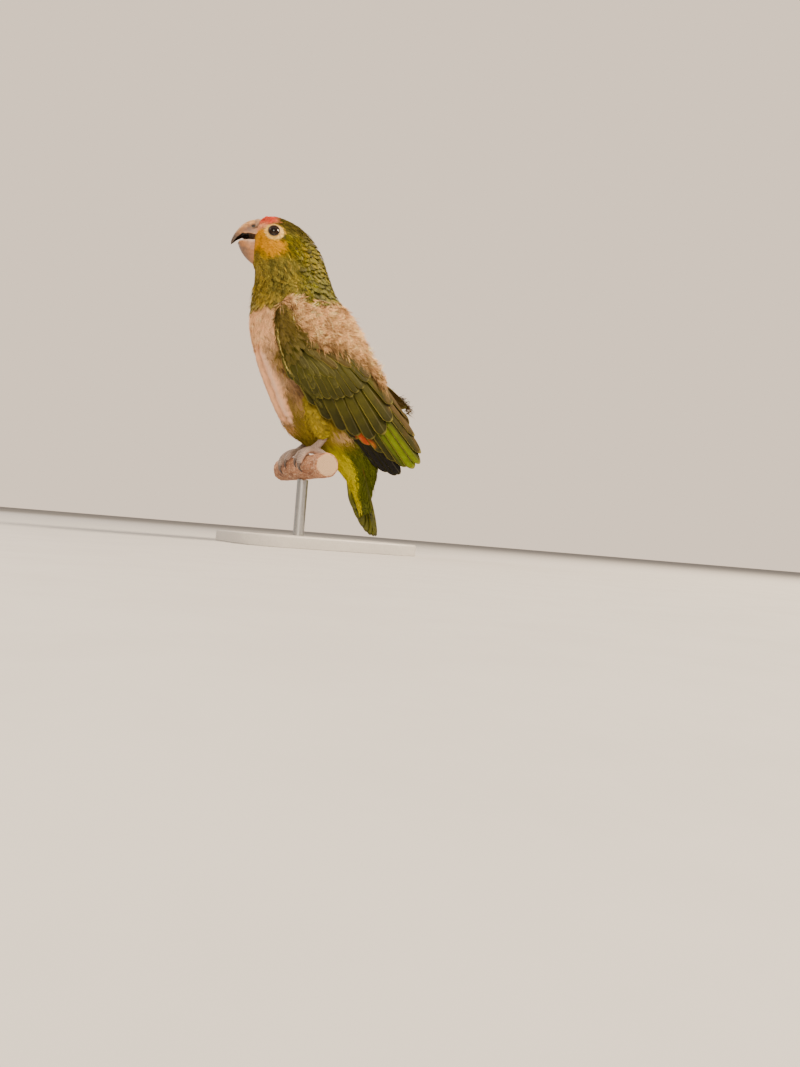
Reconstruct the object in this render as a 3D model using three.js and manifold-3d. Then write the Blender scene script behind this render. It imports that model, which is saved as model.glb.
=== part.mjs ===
// A life-size red-lored amazon parrot, a young bird, gripping a short cut perch on a plain display stand.
//
// Millimetres, +Z up. The bird faces -Y, its left side is +X, and x = 0 is its middle plane.
// The origin is on the table, straight under the stand's rod and the perch.
//
// The flesh is one lofted surface, parted by thin cuts into torso, neck and head. The flight feathers
// and the larger coverts are overlapping vanes, laid in tiers on a domed wing and on the tail.

import * as THREE from "three";
import { mergeVertices } from "three/addons/utils/BufferGeometryUtils.js";
import Module from "manifold-3d";

const wasm = await Module();
wasm.setup();
const { Manifold, Mesh } = wasm;

// ---------------------------------------------------------------- driving dimensions

const GAP = 0.3; // the clearance between neighbouring pieces

const STAND = {
  baseFront: -68, // the plate's ends along Y
  baseBack: 98,
  baseWidth: 124,
  baseThick: 10,
  baseCorner: 30,
  bevel: 1.5,
  rodRadius: 5,
};

const PERCH = { y: -3, z: 72, radius: 11, length: 104 };

// The body's ribs, from the tail root to the face. Each one is a closed oval across the body, given by its
// front and back point in the middle plane, as [y, z], and by its half width.
const RIBS = [
  { name: "underTail", front: [55, 43], back: [64, 47], half: 12 },
  { name: "tailRoot", front: [44, 64], back: [68, 76], half: 16.5 },
  { name: "vent", front: [27, 79], back: [67, 98], half: 21 },
  { name: "rump", front: [-2, 94], back: [62, 119], half: 27 },
  { name: "belly", front: [-25, 109], back: [58, 141], half: 31 },
  { name: "keel", front: [-42, 136], back: [54, 165], half: 33 },
  { name: "breast", front: [-56, 165], back: [47, 190], half: 33.5 },
  { name: "shoulder", front: [-63, 190], back: [32, 210], half: 32.5 },
  { name: "neckBase", front: [-62, 211], back: [13, 227], half: 30 },
  { name: "neck", front: [-61.5, 225], back: [3, 244], half: 26 },
  { name: "nape", front: [-61.3, 234], back: [-8, 265], half: 23.2 },
  { name: "cheek", front: [-61.6, 239.5], back: [-24, 281], half: 22 },
  { name: "crown", front: [-62.2, 242.5], back: [-43, 288], half: 20.4 },
  { name: "forehead", front: [-63.2, 244.4], back: [-56.5, 286.8], half: 16.8 },
  { name: "face", front: [-64.5, 247], back: [-63.2, 280.6], half: 11.2 },
];
const TAIL_POLE = [62, 36]; // where the loft closes, among the tail feathers
const FACE_POLE = [-66, 263]; // and at the back of the mouth
const BODY_SIDES = 24;
const BODY_STEPS_PER_RIB = 2;

const HEAD = { yaw: 16, pivotY: -30 }; // the head is turned this many degrees to the bird's right

// The eye faces out, a little forward and up, along facing; its lids lie flush with the cheek at place, and the
// eyeball's middle lies sunk behind them.
const EYE = {
  place: [19.9, -49, 270], facing: [0.955, -0.14, 0.26], sunk: 4.8, radius: 6.9, lidRadius: 5.5, lidThick: 1,
};

// Bill ribs, from the base to the tip: lower point, upper point and half width. The widest line of the upper
// half lies low, along its cutting edge, and that of the lower half lies high.
const UPPER_BILL = [
  { low: [-56, 267.5], high: [-56, 284.5], half: 10 },
  { low: [-62, 267.8], high: [-63.5, 284.4], half: 10.2 },
  { low: [-68.5, 268.6], high: [-70, 282.4], half: 9.3 },
  { low: [-73, 268.6], high: [-75.6, 278.4], half: 7.8 },
  { low: [-76.8, 267.4], high: [-80, 272.8], half: 5.9 },
  { low: [-79.8, 265], high: [-83, 267.4], half: 3.9 },
  { low: [-82.2, 261.9], high: [-84.5, 262.8], half: 2.1 },
];
const UPPER_BILL_TIP = [-84.4, 259.4];
const LOWER_BILL = [
  { low: [-57, 248], high: [-56, 264.6], half: 9 },
  { low: [-63.5, 246], high: [-63, 264.6], half: 9.8 },
  { low: [-69, 249], high: [-69, 264], half: 9.2 },
  { low: [-73.6, 253.4], high: [-74, 263.4], half: 7.6 },
  { low: [-76.7, 258], high: [-77.3, 262.8], half: 5 },
];
const LOWER_BILL_TIP = [-78.8, 261.6];
const CUTTING_EDGE = 0.26; // how far into a bill's height its widest line lies
const TONGUE = { y: -68.5, z: 264.9, half: 4.8, length: 8.8, thick: 2.7 };
const TROUGH = { y: -69, z: 266.4, half: 6.9, length: 7.9, thick: 5 };
// The cere is the part of a swollen bill inside an egg, with a nostril on each side.
const CERE = {
  swell: 1.3, centre: [0, -60, 280], sizes: [30, 9.5, 9.5], nostrilSide: 6.4, nostrilY: -66.4, nostrilZ: 275.6,
  nostril: 1.5,
};

// The folded wing lies in the plane of s, from the shoulder to the tip, and t, from the belly edge to the back.
const WING = {
  shoulder: [-51, 208], // [y, z] of s = 0, t = 0
  lean: 55, // degrees between s and the vertical
  crestT: -10, // where the dome is highest
  frontFall: 0.0045, // how fast it drops towards the belly edge
};
// The dome's height over the middle plane along s, and how far behind the crest it comes down to that plane.
const WING_HEIGHT = [
  [-12, 27], [8, 36], [35, 42.5], [70, 44.5], [100, 41.5], [130, 36], [165, 29], [210, 20],
];
const WING_REACH = [[0, 62], [60, 60], [90, 54], [110, 47], [130, 40], [160, 33], [205, 26]];
const WING_CLEAR = 1.5; // each wing stays this far from the middle plane
const RIGHT_WING_LIFT = 5; // degrees that the right wing's tip stands higher

// A feather's outline as shares of its half width: its widths at the root, before the tip and at the tip, and how
// far behind the tip it starts to narrow and its last row bends back.
const VANE = { root: 0.5, full: 0.97, tip: 0.58, shoulder: 1.15, tipBack: 0.36 };

// The fleshy forearm under the coverts, as half sizes along s and t. Its skin lies low under the coverts, and
// high where only down and small feathers cover it, at the shoulder and along the back.
const FOREARM = {
  s: 50, t: -3, sHalf: 57, tHalf: 36, skew: -7, thick: 7, bulge: 0.6, lowSkin: 3, highSkin: 0.8,
  downFrom: -34, downSlope: 0.5, downBlend: 14,
};

// Tiers of feathers on the wing, from the innermost layer out. roots and tips are curves of [s, t] that
// run from the belly edge to the back; depth is how far the tier lies under the dome.
const WING_TIERS = [
  { name: "primaries", count: 5, depth: 7.2, width: 11.5, thick: 0.6, tilt: 0.1,
    roots: [[82, -36], [88, -28], [92, -20]], tips: [[152, -41], [176, -39], [192, -29]] },
  { name: "secondaries", count: 9, depth: 4.9, width: 15, thick: 0.6, tilt: 0.14,
    roots: [[64, -31], [78, -23], [90, -11], [92, 0], [80, 10], [58, 17]],
    tips: [[134, -39], [161, -31], [188, -23], [198, -12], [185, 7], [150, 26]] },
  { name: "greater_coverts", count: 8, depth: 2.4, width: 15.5, thick: 0.6, tilt: 0.14,
    roots: [[46, -30], [68, -28], [88, -19], [96, -7], [86, 6], [62, 17]],
    tips: [[84, -44], [113, -43], [135, -35], [148, -19], [142, 2], [118, 23]] },
  { name: "median_coverts", count: 7, depth: 0.2, width: 14, thick: 0.6, tilt: 0.13,
    roots: [[28, -26], [50, -24], [68, -16], [74, -5], [62, 5]],
    tips: [[60, -43], [87, -38], [106, -25], [114, -8], [104, 9]] },
];

// The tail: six pairs of broad feathers, fanned from one root.
const TAIL = {
  root: [45, 100], // [y, z]
  tip: [69.5, 14.6],
  pairs: 6,
  width: 19,
  thick: 0.9,
  stack: 0.95, // how far each pair lies below the next inner one
  rootSpread: 1.3,
  fan: 1.55, // degrees from one feather to the next
  shorten: 1.05, // each outer feather ends this many millimetres times its rank squared further up
};
const TAIL_COVERTS = [
  { name: "under_tail", side: -1, count: 5, from: 24, length: 40, width: 14, spread: 6, lift: 8.6, fall: 3.2 },
  { name: "upper_tail", side: 1, count: 4, from: 18, length: 36, width: 14, spread: 6, lift: 8, fall: 2.4 },
];

const LEG = {
  side: 18, // the foot's distance from the middle plane
  knee: [13, -10, 142],
  shank: [17.5, -4, 120],
  heel: [18, 8, 99],
  thighRadius: [15, 13.4, 5.4],
  tarsusRadius: 4.1,
};
// Toes round the perch: the side step and the arc of each one, with its root and end radius.
const TOES = [
  { name: "1", aim: 1, reach: 46, step: -4.5, root: 3.3, end: 2.5 },
  { name: "2", aim: -1, reach: 66, step: -6, root: 3.4, end: 2.5 },
  { name: "3", aim: -1, reach: 86, step: 5.5, root: 3.5, end: 2.6 },
  { name: "4", aim: 1, reach: 74, step: 6.5, root: 3.4, end: 2.5 },
];
const CLAW = { arc: 34, root: 2.1, tip: 0.55 };

// ---------------------------------------------------------------- solids

const COLOURS = {
  green: 0x6f7d22, olive: 0x8a7a3c, cheek: 0xe8a81c, down: 0xcfa78c, horn: 0xb79a86, hornDark: 0x6b5a50,
  tongue: 0x24201d, eye: 0x1c120c, skin: 0x8d7f73, claw: 0x3a3230, bark: 0xa8673f, stand: 0xd8d4cc, steel: 0xb9bcc0,
};

/** The triangle faces of a geometry as one Manifold solid: shared points merged, empty faces dropped. */
function solid(geometry) {
  const bare = geometry.index ? geometry.toNonIndexed() : geometry;
  const merged = mergeVertices(
    new THREE.BufferGeometry().setAttribute("position", bare.getAttribute("position").clone()), 1e-4);
  const index = [];
  const all = merged.index.array;
  for (let i = 0; i < all.length; i += 3) {
    const [a, b, c] = [all[i], all[i + 1], all[i + 2]];
    if (a !== b && b !== c && c !== a) index.push(a, b, c);
  }
  return new Manifold(new Mesh({
    numProp: 3, vertProperties: Float32Array.from(merged.getAttribute("position").array),
    triVerts: Uint32Array.from(index),
  }));
}

/** An indexed geometry as a solid, with its faces turned round first if they look inwards. */
function closed(geometry) {
  const made = solid(geometry);
  if (made.volume() > 0) return made;
  const index = Array.from(geometry.index.array);
  for (let i = 0; i < index.length; i += 3) [index[i + 1], index[i + 2]] = [index[i + 2], index[i + 1]];
  return solid(geometry.clone().setIndex(index));
}

/** The largest closed surface of a solid, which drops loose scraps and fills sealed hollows. */
function largest(made) {
  return made.decompose().reduce((best, one) => (one.volume() > best.volume() ? one : best));
}

/** All the solids as one. */
function join(solids) {
  return Manifold.union(solids);
}

/** A Manifold solid as a named three.js mesh. */
function node(name, made, colour, roughness = 0.7, metalness = 0) {
  const { vertProperties, triVerts, numProp } = largest(made).getMesh();
  const position = new Float32Array((vertProperties.length / numProp) * 3);
  for (let i = 0; i < position.length / 3; i++)
    for (let k = 0; k < 3; k++) position[3 * i + k] = vertProperties[numProp * i + k];
  const geometry = new THREE.BufferGeometry()
    .setAttribute("position", new THREE.BufferAttribute(position, 3))
    .setIndex(new THREE.BufferAttribute(triVerts, 1));
  geometry.computeVertexNormals();
  const mesh = new THREE.Mesh(geometry, new THREE.MeshStandardMaterial({ color: colour, roughness, metalness }));
  mesh.name = name;
  return mesh;
}

/** A closed skin over rings of points, each ring in the same order, with a pole at each end. */
function skin(rings, startPole, endPole) {
  const points = [startPole, ...rings.flat(), endPole];
  const sides = rings[0].length;
  const at = (ring, side) => 1 + ring * sides + (side % sides);
  const last = points.length - 1;
  const index = [];
  for (let side = 0; side < sides; side++) {
    index.push(0, at(0, side + 1), at(0, side));
    index.push(last, at(rings.length - 1, side), at(rings.length - 1, side + 1));
    for (let ring = 0; ring + 1 < rings.length; ring++) {
      index.push(at(ring, side), at(ring, side + 1), at(ring + 1, side + 1));
      index.push(at(ring, side), at(ring + 1, side + 1), at(ring + 1, side));
    }
  }
  return closed(new THREE.BufferGeometry().setFromPoints(points).setIndex(index));
}

/** A smooth curve of numbers through rows of equal length, read at u from 0 to 1. */
function through(rows) {
  return (u) => {
    const place = THREE.MathUtils.clamp(u, 0, 1) * (rows.length - 1);
    const i = Math.min(Math.floor(place), rows.length - 2);
    const f = place - i;
    const row = (k) => rows[THREE.MathUtils.clamp(k, 0, rows.length - 1)];
    return rows[0].map((_, n) => {
      const [a, b, c, d] = [row(i - 1)[n], row(i)[n], row(i + 1)[n], row(i + 2)[n]];
      return b + 0.5 * f * (c - a + f * (2 * a - 5 * b + 4 * c - d + f * (3 * (b - c) + d - a)));
    });
  };
}

/** A reading of [x, value] pairs at x, straight between them and level beyond them. */
function eased(pairs, x) {
  const next = pairs.findIndex(([at]) => at > x);
  if (next < 1) return (next === 0 ? pairs[0] : pairs.at(-1))[1];
  const [[x0, v0], [x1, v1]] = [pairs[next - 1], pairs[next]];
  return THREE.MathUtils.lerp(v0, v1, (x - x0) / (x1 - x0));
}

/**
 * An oval across the middle plane, from its low point to its high point, pushed out by grow. Its widest line
 * lies at the given share of the way up.
 */
function oval([y0, z0], [y1, z1], half, grow, sides, widest = 0.5) {
  const reach = Math.hypot(y1 - y0, z1 - z0);
  return Array.from({ length: sides }, (_, k) => {
    const a = (2 * Math.PI * k) / sides;
    const part = a < Math.PI ? 1 - widest : widest;
    const up = widest + (part + grow / reach) * Math.sin(a);
    return new THREE.Vector3((half + grow) * Math.cos(a), y0 + (y1 - y0) * up, z0 + (z1 - z0) * up);
  });
}

/** A tapered limb with round ends along a smooth path; radius(u) is its radius. */
function limb(points, radius, sides, steps) {
  const path = new THREE.CatmullRomCurve3(points);
  const frames = path.computeFrenetFrames(steps, false);
  const rings = [];
  for (let i = 0; i <= steps; i++) {
    const [u, r] = [i / steps, radius(i / steps)];
    const centre = path.getPoint(u);
    rings.push(Array.from({ length: sides }, (_, k) => {
      const a = (2 * Math.PI * k) / sides;
      return centre.clone().addScaledVector(frames.normals[i], r * Math.cos(a))
        .addScaledVector(frames.binormals[i], r * Math.sin(a));
    }));
  }
  const cap = (u, i, way) => path.getPoint(u).addScaledVector(frames.tangents[i], way * 0.6 * radius(u));
  return skin(rings, cap(0, 0, -1), cap(1, steps, 1));
}

/** A thin closed plate over a grid of points, half its thickness to each side of them along the normals. */
function plate(grid, normals, thick) {
  const [rows, columns] = [grid.length, grid[0].length];
  const points = [];
  for (const way of [0.5, -0.5])
    grid.forEach((row, i) => row.forEach((p, j) =>
      points.push(p.clone().addScaledVector(normals[i][j], way * thick))));
  const top = (i, j) => i * columns + j;
  const under = (i, j) => rows * columns + top(i, j);
  const index = [];
  const wall = (a, b, c, d) => index.push(a, b, c, b, d, c);
  for (let i = 0; i + 1 < rows; i++) {
    for (let j = 0; j + 1 < columns; j++) {
      index.push(top(i, j), top(i, j + 1), top(i + 1, j + 1), top(i, j), top(i + 1, j + 1), top(i + 1, j));
      index.push(under(i, j), under(i + 1, j + 1), under(i, j + 1));
      index.push(under(i, j), under(i + 1, j), under(i + 1, j + 1));
    }
    wall(top(i, 0), top(i + 1, 0), under(i, 0), under(i + 1, 0));
    wall(top(i + 1, columns - 1), top(i, columns - 1), under(i + 1, columns - 1), under(i, columns - 1));
  }
  for (let j = 0; j + 1 < columns; j++) {
    wall(top(0, j + 1), top(0, j), under(0, j + 1), under(0, j));
    wall(top(rows - 1, j), top(rows - 1, j + 1), under(rows - 1, j), under(rows - 1, j + 1));
  }
  return closed(new THREE.BufferGeometry().setFromPoints(points).setIndex(index));
}

/**
 * A feather on a surface, with a round tip; place(along, across) gives the point and the surface's normal so
 * far along the feather and so far from its shaft.
 */
function vane(place, length, halfWidth, thick) {
  const shoulder = length - VANE.shoulder * halfWidth;
  const rows = [
    { along: 0, wide: VANE.root, back: 0 },
    { along: 0.5 * shoulder, wide: 1, back: 0 },
    { along: shoulder, wide: VANE.full, back: 0 },
    { along: length, wide: VANE.tip, back: VANE.tipBack * halfWidth },
  ];
  const places = rows.map(({ along, wide, back }) =>
    [-1, 0, 1].map((side) => place(along - Math.abs(side) * back, side * halfWidth * wide)));
  return plate(places.map((row) => row.map((one) => one.point)),
    places.map((row) => row.map((one) => one.normal)), thick);
}

// ---------------------------------------------------------------- the body

const rad = THREE.MathUtils.degToRad;
const bodyRib = through(RIBS.map(({ front, back, half }) => [...front, ...back, half]));
const ribIndex = (name) => RIBS.findIndex((rib) => rib.name === name) / (RIBS.length - 1);

/** How far a place on the body, at u from tail root to face, turns with the head. */
function headTurn(u) {
  return THREE.MathUtils.smoothstep(u, ribIndex("neckBase"), ribIndex("crown"));
}

/** Turns a point with the head by a share of its yaw. */
function turnHead(point, share = 1) {
  const pivot = new THREE.Vector3(0, HEAD.pivotY, 0);
  return point.sub(pivot).applyAxisAngle(new THREE.Vector3(0, 0, 1), -rad(HEAD.yaw) * share).add(pivot);
}

/** The whole lofted body, pushed out by grow. */
function bodyLoft(grow = 0) {
  const steps = (RIBS.length - 1) * BODY_STEPS_PER_RIB;
  const rings = [];
  for (let i = 0; i <= steps; i++) {
    const u = i / steps;
    const [fy, fz, by, bz, half] = bodyRib(u);
    rings.push(oval([fy, fz], [by, bz], half, grow, BODY_SIDES).map((p) => turnHead(p, headTurn(u))));
  }
  const tail = new THREE.Vector3(0, TAIL_POLE[0] + grow / 2, TAIL_POLE[1] - grow);
  const face = turnHead(new THREE.Vector3(0, FACE_POLE[0] - grow, FACE_POLE[1]));
  return skin(rings, tail, face);
}

/** The plane across the body at rib place u, as its unit normal towards the head and its offset. */
function ribPlane(u) {
  const [fy, fz, by, bz] = bodyRib(u);
  const normal = new THREE.Vector3(0, fz - bz, by - fy).normalize();
  return { normal, offset: normal.y * fy + normal.z * fz };
}

/** Splits a solid at rib place u into what lies towards the head and towards the tail, GAP apart. */
function part(made, u) {
  const { normal, offset } = ribPlane(u);
  return [
    made.trimByPlane(normal.toArray(), offset + GAP / 2),
    made.trimByPlane(normal.clone().negate().toArray(), -offset + GAP / 2),
  ];
}

// ---------------------------------------------------------------- head pieces, made facing -Y and then turned

/** Applies the head's whole turn to a solid. */
function withHead(made) {
  return made.warp((v) => {
    const p = turnHead(new THREE.Vector3(v[0], v[1], v[2]));
    [v[0], v[1], v[2]] = [p.x, p.y, p.z];
  });
}

/** One half of the bill, with its widest line at the given share of its height, pushed out by grow. */
function bill(ribs, tip, widest, grow = 0) {
  const rib = through(ribs.map(({ low, high, half }) => [...low, ...high, half]));
  const steps = Math.round((ribs.length - 1) * 1.5);
  const rings = Array.from({ length: steps + 1 }, (_, i) => {
    const [ly, lz, hy, hz, half] = rib(i / steps);
    return oval([ly, lz], [hy, hz], half, grow, 16, widest);
  });
  const [{ low, high }] = ribs;
  const base = new THREE.Vector3(0, (low[0] + high[0]) / 2 + 2, (low[1] + high[1]) / 2);
  const end = new THREE.Vector3(0, tip[0] - grow / 2, tip[1] - grow);
  return skin(rings, base, end);
}

function upperBill(grow = 0) {
  return bill(UPPER_BILL, UPPER_BILL_TIP, CUTTING_EDGE, grow);
}

function lowerBill() {
  const { y, z, half, length, thick } = TROUGH;
  return bill(LOWER_BILL, LOWER_BILL_TIP, 1 - CUTTING_EDGE).subtract(egg([0, y, z], [half, length, thick], 16, 10));
}

/** An egg with its own half sizes, at a place. */
function egg([x, y, z], [rx, ry, rz], around = 16, up = 10) {
  return solid(new THREE.SphereGeometry(1, around, up).scale(rx, ry, rz).translate(x, y, z));
}

const gaze = new THREE.Vector3(...EYE.facing).normalize();

/** The ring of the eyelids on one side. */
function lids(side) {
  const ring = new THREE.TorusGeometry(EYE.lidRadius, EYE.lidThick, 6, 18)
    .applyQuaternion(new THREE.Quaternion().setFromUnitVectors(new THREE.Vector3(0, 0, 1), gaze))
    .translate(...EYE.place);
  return side > 0 ? solid(ring) : solid(ring).mirror([1, 0, 0]);
}

function eyeball(side, grow = 0) {
  const r = EYE.radius + grow;
  const [x, y, z] = new THREE.Vector3(...EYE.place).addScaledVector(gaze, -EYE.sunk).toArray();
  return egg([side * x, y, z], [r, r, r]);
}

/** The soft cere over the root of the upper bill, with its two nostrils. */
function cere() {
  const nostril = (side) => {
    const hole = new THREE.CylinderGeometry(CERE.nostril, CERE.nostril, 14, 8).rotateZ(-side * 1.25);
    return solid(hole.translate(side * CERE.nostrilSide, CERE.nostrilY, CERE.nostrilZ));
  };
  return upperBill(CERE.swell).intersect(egg(CERE.centre, CERE.sizes, 20, 12))
    .subtract(upperBill(GAP)).subtract(nostril(1)).subtract(nostril(-1));
}

function tongue(grow = 0) {
  return egg([0, TONGUE.y, TONGUE.z], [TONGUE.half + grow, TONGUE.length + grow, TONGUE.thick + grow], 14, 8);
}

// ---------------------------------------------------------------- wings

const wingAlong = new THREE.Vector3(0, Math.sin(rad(WING.lean)), -Math.cos(rad(WING.lean)));
const wingAcross = new THREE.Vector3(0, Math.cos(rad(WING.lean)), Math.sin(rad(WING.lean)));

/** The height of the left wing's dome over the middle plane: flat in front of the crest, round behind it. */
function wingHeight(s, t) {
  const across = t - WING.crestT;
  if (across < 0) return eased(WING_HEIGHT, s) - WING.frontFall * across * across;
  const share = Math.min(across / eased(WING_REACH, s), 0.97);
  return eased(WING_HEIGHT, s) * Math.sqrt(1 - share * share);
}

/** The point of the left wing at s and t, lying depth under the dome, with the dome's outward normal. */
function onWing(s, t, depth) {
  const at = (a, b) => new THREE.Vector3(wingHeight(a, b), WING.shoulder[0], WING.shoulder[1])
    .addScaledVector(wingAlong, a).addScaledVector(wingAcross, b);
  const [here, ahead, beside] = [at(s, t), at(s + 2, t), at(s, t + 2)];
  const normal = ahead.sub(here).cross(beside.sub(here)).normalize();
  if (normal.x < 0) normal.negate();
  return { point: here.addScaledVector(normal, -depth), normal };
}

/** How deep under the dome the forearm's skin lies: high along the back, low under the coverts. */
function skinDepth(s, t) {
  const { lowSkin, highSkin, downFrom, downSlope, downBlend } = FOREARM;
  const edge = downFrom + downSlope * s;
  return THREE.MathUtils.lerp(lowSkin, highSkin, THREE.MathUtils.smoothstep(t, edge, edge + downBlend));
}

/** The forearm's flesh, a flattened egg bent to the dome. */
function forearm() {
  const ball = new THREE.SphereGeometry(1, 18, 12);
  const position = ball.getAttribute("position");
  for (let i = 0; i < position.count; i++) {
    const [a, b, c] = [position.getX(i), position.getY(i), position.getZ(i)];
    const s = FOREARM.s + FOREARM.sHalf * a;
    const t = FOREARM.t + FOREARM.tHalf * b + FOREARM.skew * a;
    const { point } = onWing(s, t, skinDepth(s, t) + FOREARM.thick * (1 - Math.sign(c) * Math.abs(c) ** FOREARM.bulge));
    position.setXYZ(i, point.x, point.y, point.z);
  }
  return closed(ball);
}

/** One tier of wing feathers, rooted in the forearm; each one lies over its neighbour towards the belly. */
function wingTier({ count, depth, width, thick, tilt, roots, tips }) {
  const [rootAt, tipAt] = [through(roots), through(tips)];
  return Array.from({ length: count }, (_, k) => {
    const [[s0, t0], [s1, t1]] = [rootAt(k / (count - 1)), tipAt(k / (count - 1))];
    const length = Math.hypot(s1 - s0, t1 - t0);
    const [ds, dt] = [(s1 - s0) / length, (t1 - t0) / length];
    const dive = Math.max(skinDepth(s0, t0) + 1.2 - depth, 0);
    const lie = (along, across) => onWing(
      s0 + ds * along - dt * across, t0 + dt * along + ds * across,
      depth + tilt * across + dive * (1 - along / length) ** 3);
    return vane(lie, length, width / 2, thick);
  });
}

function leftWing() {
  return join([forearm(), ...WING_TIERS.flatMap(wingTier)]);
}

// ---------------------------------------------------------------- tail

const tailRoot = new THREE.Vector3(0, ...TAIL.root);
const tailTip = new THREE.Vector3(0, ...TAIL.tip);
const tailAlong = tailTip.clone().sub(tailRoot).normalize();
const tailUp = new THREE.Vector3(0, -tailAlong.z, tailAlong.y); // away from the legs
const tailLength = tailTip.distanceTo(tailRoot);

/** The place along the tail, sideways and above its middle layer. */
function onTail(along, side, lift) {
  return tailRoot.clone().addScaledVector(tailAlong, along).addScaledVector(tailUp, lift).setX(side);
}

function tailFeather(rank, hand) {
  const turn = rad(TAIL.fan * (rank + 0.5)) * hand;
  const length = tailLength - TAIL.shorten * rank * rank;
  const start = hand * TAIL.rootSpread * (rank + 0.5);
  const lie = (along, across) => ({
    point: onTail(along * Math.cos(turn) - across * Math.sin(turn),
      start + along * Math.sin(turn) + across * Math.cos(turn),
      2.4 - TAIL.stack * (rank + 0.5) - hand * 0.09 * across - 0.0035 * across * across),
    normal: tailUp,
  });
  return vane(lie, length, TAIL.width / 2, TAIL.thick);
}

/** The small stiff feathers over and under the tail's root. */
function tailCovert({ side, count, from, length, width, spread, lift, fall }, k) {
  const rank = k - (count - 1) / 2;
  const lie = (along, across) => ({
    point: onTail(from + along - Math.abs(rank) * 3, spread * rank + across,
      side * (lift - fall * (along / length) - 0.55 * rank * rank * (1 - 0.5 * (along / length)) - (k % 2) * 0.9)),
    normal: tailUp,
  });
  return vane(lie, length, width / 2, TAIL.thick);
}

function tail() {
  const feathers = [];
  for (let rank = 0; rank < TAIL.pairs; rank++)
    for (const hand of [1, -1]) feathers.push(tailFeather(rank, hand));
  for (const row of TAIL_COVERTS)
    for (let k = 0; k < row.count; k++) feathers.push(tailCovert(row, k));
  return join(feathers);
}

// ---------------------------------------------------------------- legs

/** A place round the perch: degrees from its top, forwards negative, at a distance from its axis. */
function roundPerch(x, degrees, distance) {
  const a = rad(degrees);
  return new THREE.Vector3(x, PERCH.y + distance * Math.sin(a), PERCH.z + distance * Math.cos(a));
}

/** A toe that grips the perch, with its joints a little thicker, pushed out by grow. */
function toe(side, { aim, reach, step, root, end }, grow = 0) {
  const radius = (u) => grow + THREE.MathUtils.lerp(root, end, u) * (1 + 0.1 * Math.cos(6 * Math.PI * u));
  const points = [0, 0.35, 0.7, 1].map((u) => roundPerch(
    side * (LEG.side + step * Math.min(1, 1.6 * u)), aim * (4 + (reach - 4) * u),
    PERCH.radius + GAP + 1.12 * THREE.MathUtils.lerp(root, end, u)));
  return limb(points, radius, 7, 5);
}

function claw(side, { aim, reach, step, end }) {
  const points = [0, 0.35, 0.7, 1].map((u) => roundPerch(
    side * (LEG.side + step), aim * (reach - 2 + CLAW.arc * u),
    PERCH.radius + GAP + THREE.MathUtils.lerp(end * 1.05, 0.9, u) + 0.9 * Math.sin(Math.PI * u)));
  return limb(points, (u) => THREE.MathUtils.lerp(CLAW.root, CLAW.tip, u), 6, 4);
}

/** The feathered thigh, pushed out by grow. */
function thigh(side, grow = 0) {
  const [a, b, c] = LEG.thighRadius.map((r) => r + grow);
  const points = [LEG.knee, LEG.shank, LEG.heel].map(([x, y, z]) => new THREE.Vector3(side * x, y, z));
  return limb(points, (u) => a + (4 * b - 3 * a - c) * u + (2 * a + 2 * c - 4 * b) * u * u, 14, 7);
}

function foot(side) {
  const [x, y, z] = LEG.heel;
  const ankle = roundPerch(side * LEG.side, 2, PERCH.radius + GAP + 4.2);
  const heel = new THREE.Vector3(side * x, y, z + 3);
  const middle = heel.clone().lerp(ankle, 0.5).add(new THREE.Vector3(0, 0.8, 0));
  const tarsus = limb([heel, middle, ankle], (u) => LEG.tarsusRadius * (1 - 0.25 * Math.sin(Math.PI * u)), 8, 3);
  return join([tarsus, ...TOES.map((one) => toe(side, one))]);
}

// ---------------------------------------------------------------- perch and stand

/** The cut branch: a lathe turned along X, with a slight swell and a bevel at its ends. */
function perch(grow = 0) {
  const swell = [0.955, 0.985, 1, 0.97, 0.99, 1, 0.98, 0.995, 0.96];
  const outline = [new THREE.Vector2(0, -PERCH.length / 2 - grow)];
  swell.forEach((share, i) => outline.push(new THREE.Vector2(
    (PERCH.radius + grow) * (grow ? 1 : share), (PERCH.length / 2 + grow) * ((2 * i) / (swell.length - 1) - 1))));
  outline.push(new THREE.Vector2(0, PERCH.length / 2 + grow));
  return solid(new THREE.LatheGeometry(outline, 18).rotateZ(-Math.PI / 2).translate(0, PERCH.y, PERCH.z));
}

function standRod() {
  const bottom = STAND.baseThick + GAP;
  const rod = new THREE.CylinderGeometry(STAND.rodRadius, STAND.rodRadius, PERCH.z - bottom, 20).rotateX(Math.PI / 2);
  return solid(rod.translate(0, PERCH.y, (PERCH.z + bottom) / 2)).subtract(perch(GAP));
}

function standBase() {
  const [w, y0, y1, r] = [STAND.baseWidth / 2 - STAND.bevel, STAND.baseFront + STAND.bevel,
    STAND.baseBack - STAND.bevel, STAND.baseCorner];
  const outline = new THREE.Shape();
  outline.moveTo(-w + r, y0).lineTo(w - r, y0).absarc(w - r, y0 + r, r, -Math.PI / 2, 0)
    .lineTo(w, y1 - r).absarc(w - r, y1 - r, r, 0, Math.PI / 2)
    .lineTo(-w + r, y1).absarc(-w + r, y1 - r, r, Math.PI / 2, Math.PI)
    .lineTo(-w, y0 + r).absarc(-w + r, y0 + r, r, Math.PI, 1.5 * Math.PI);
  return solid(new THREE.ExtrudeGeometry(outline, {
    depth: STAND.baseThick - 2 * STAND.bevel, bevelThickness: STAND.bevel, bevelSize: STAND.bevel,
    bevelSegments: 1, curveSegments: 5,
  }).translate(0, 0, STAND.bevel));
}

// ---------------------------------------------------------------- the whole bird

const model = new THREE.Group();
const body = bodyLoft();
const bodyRoom = bodyLoft(GAP);

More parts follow.
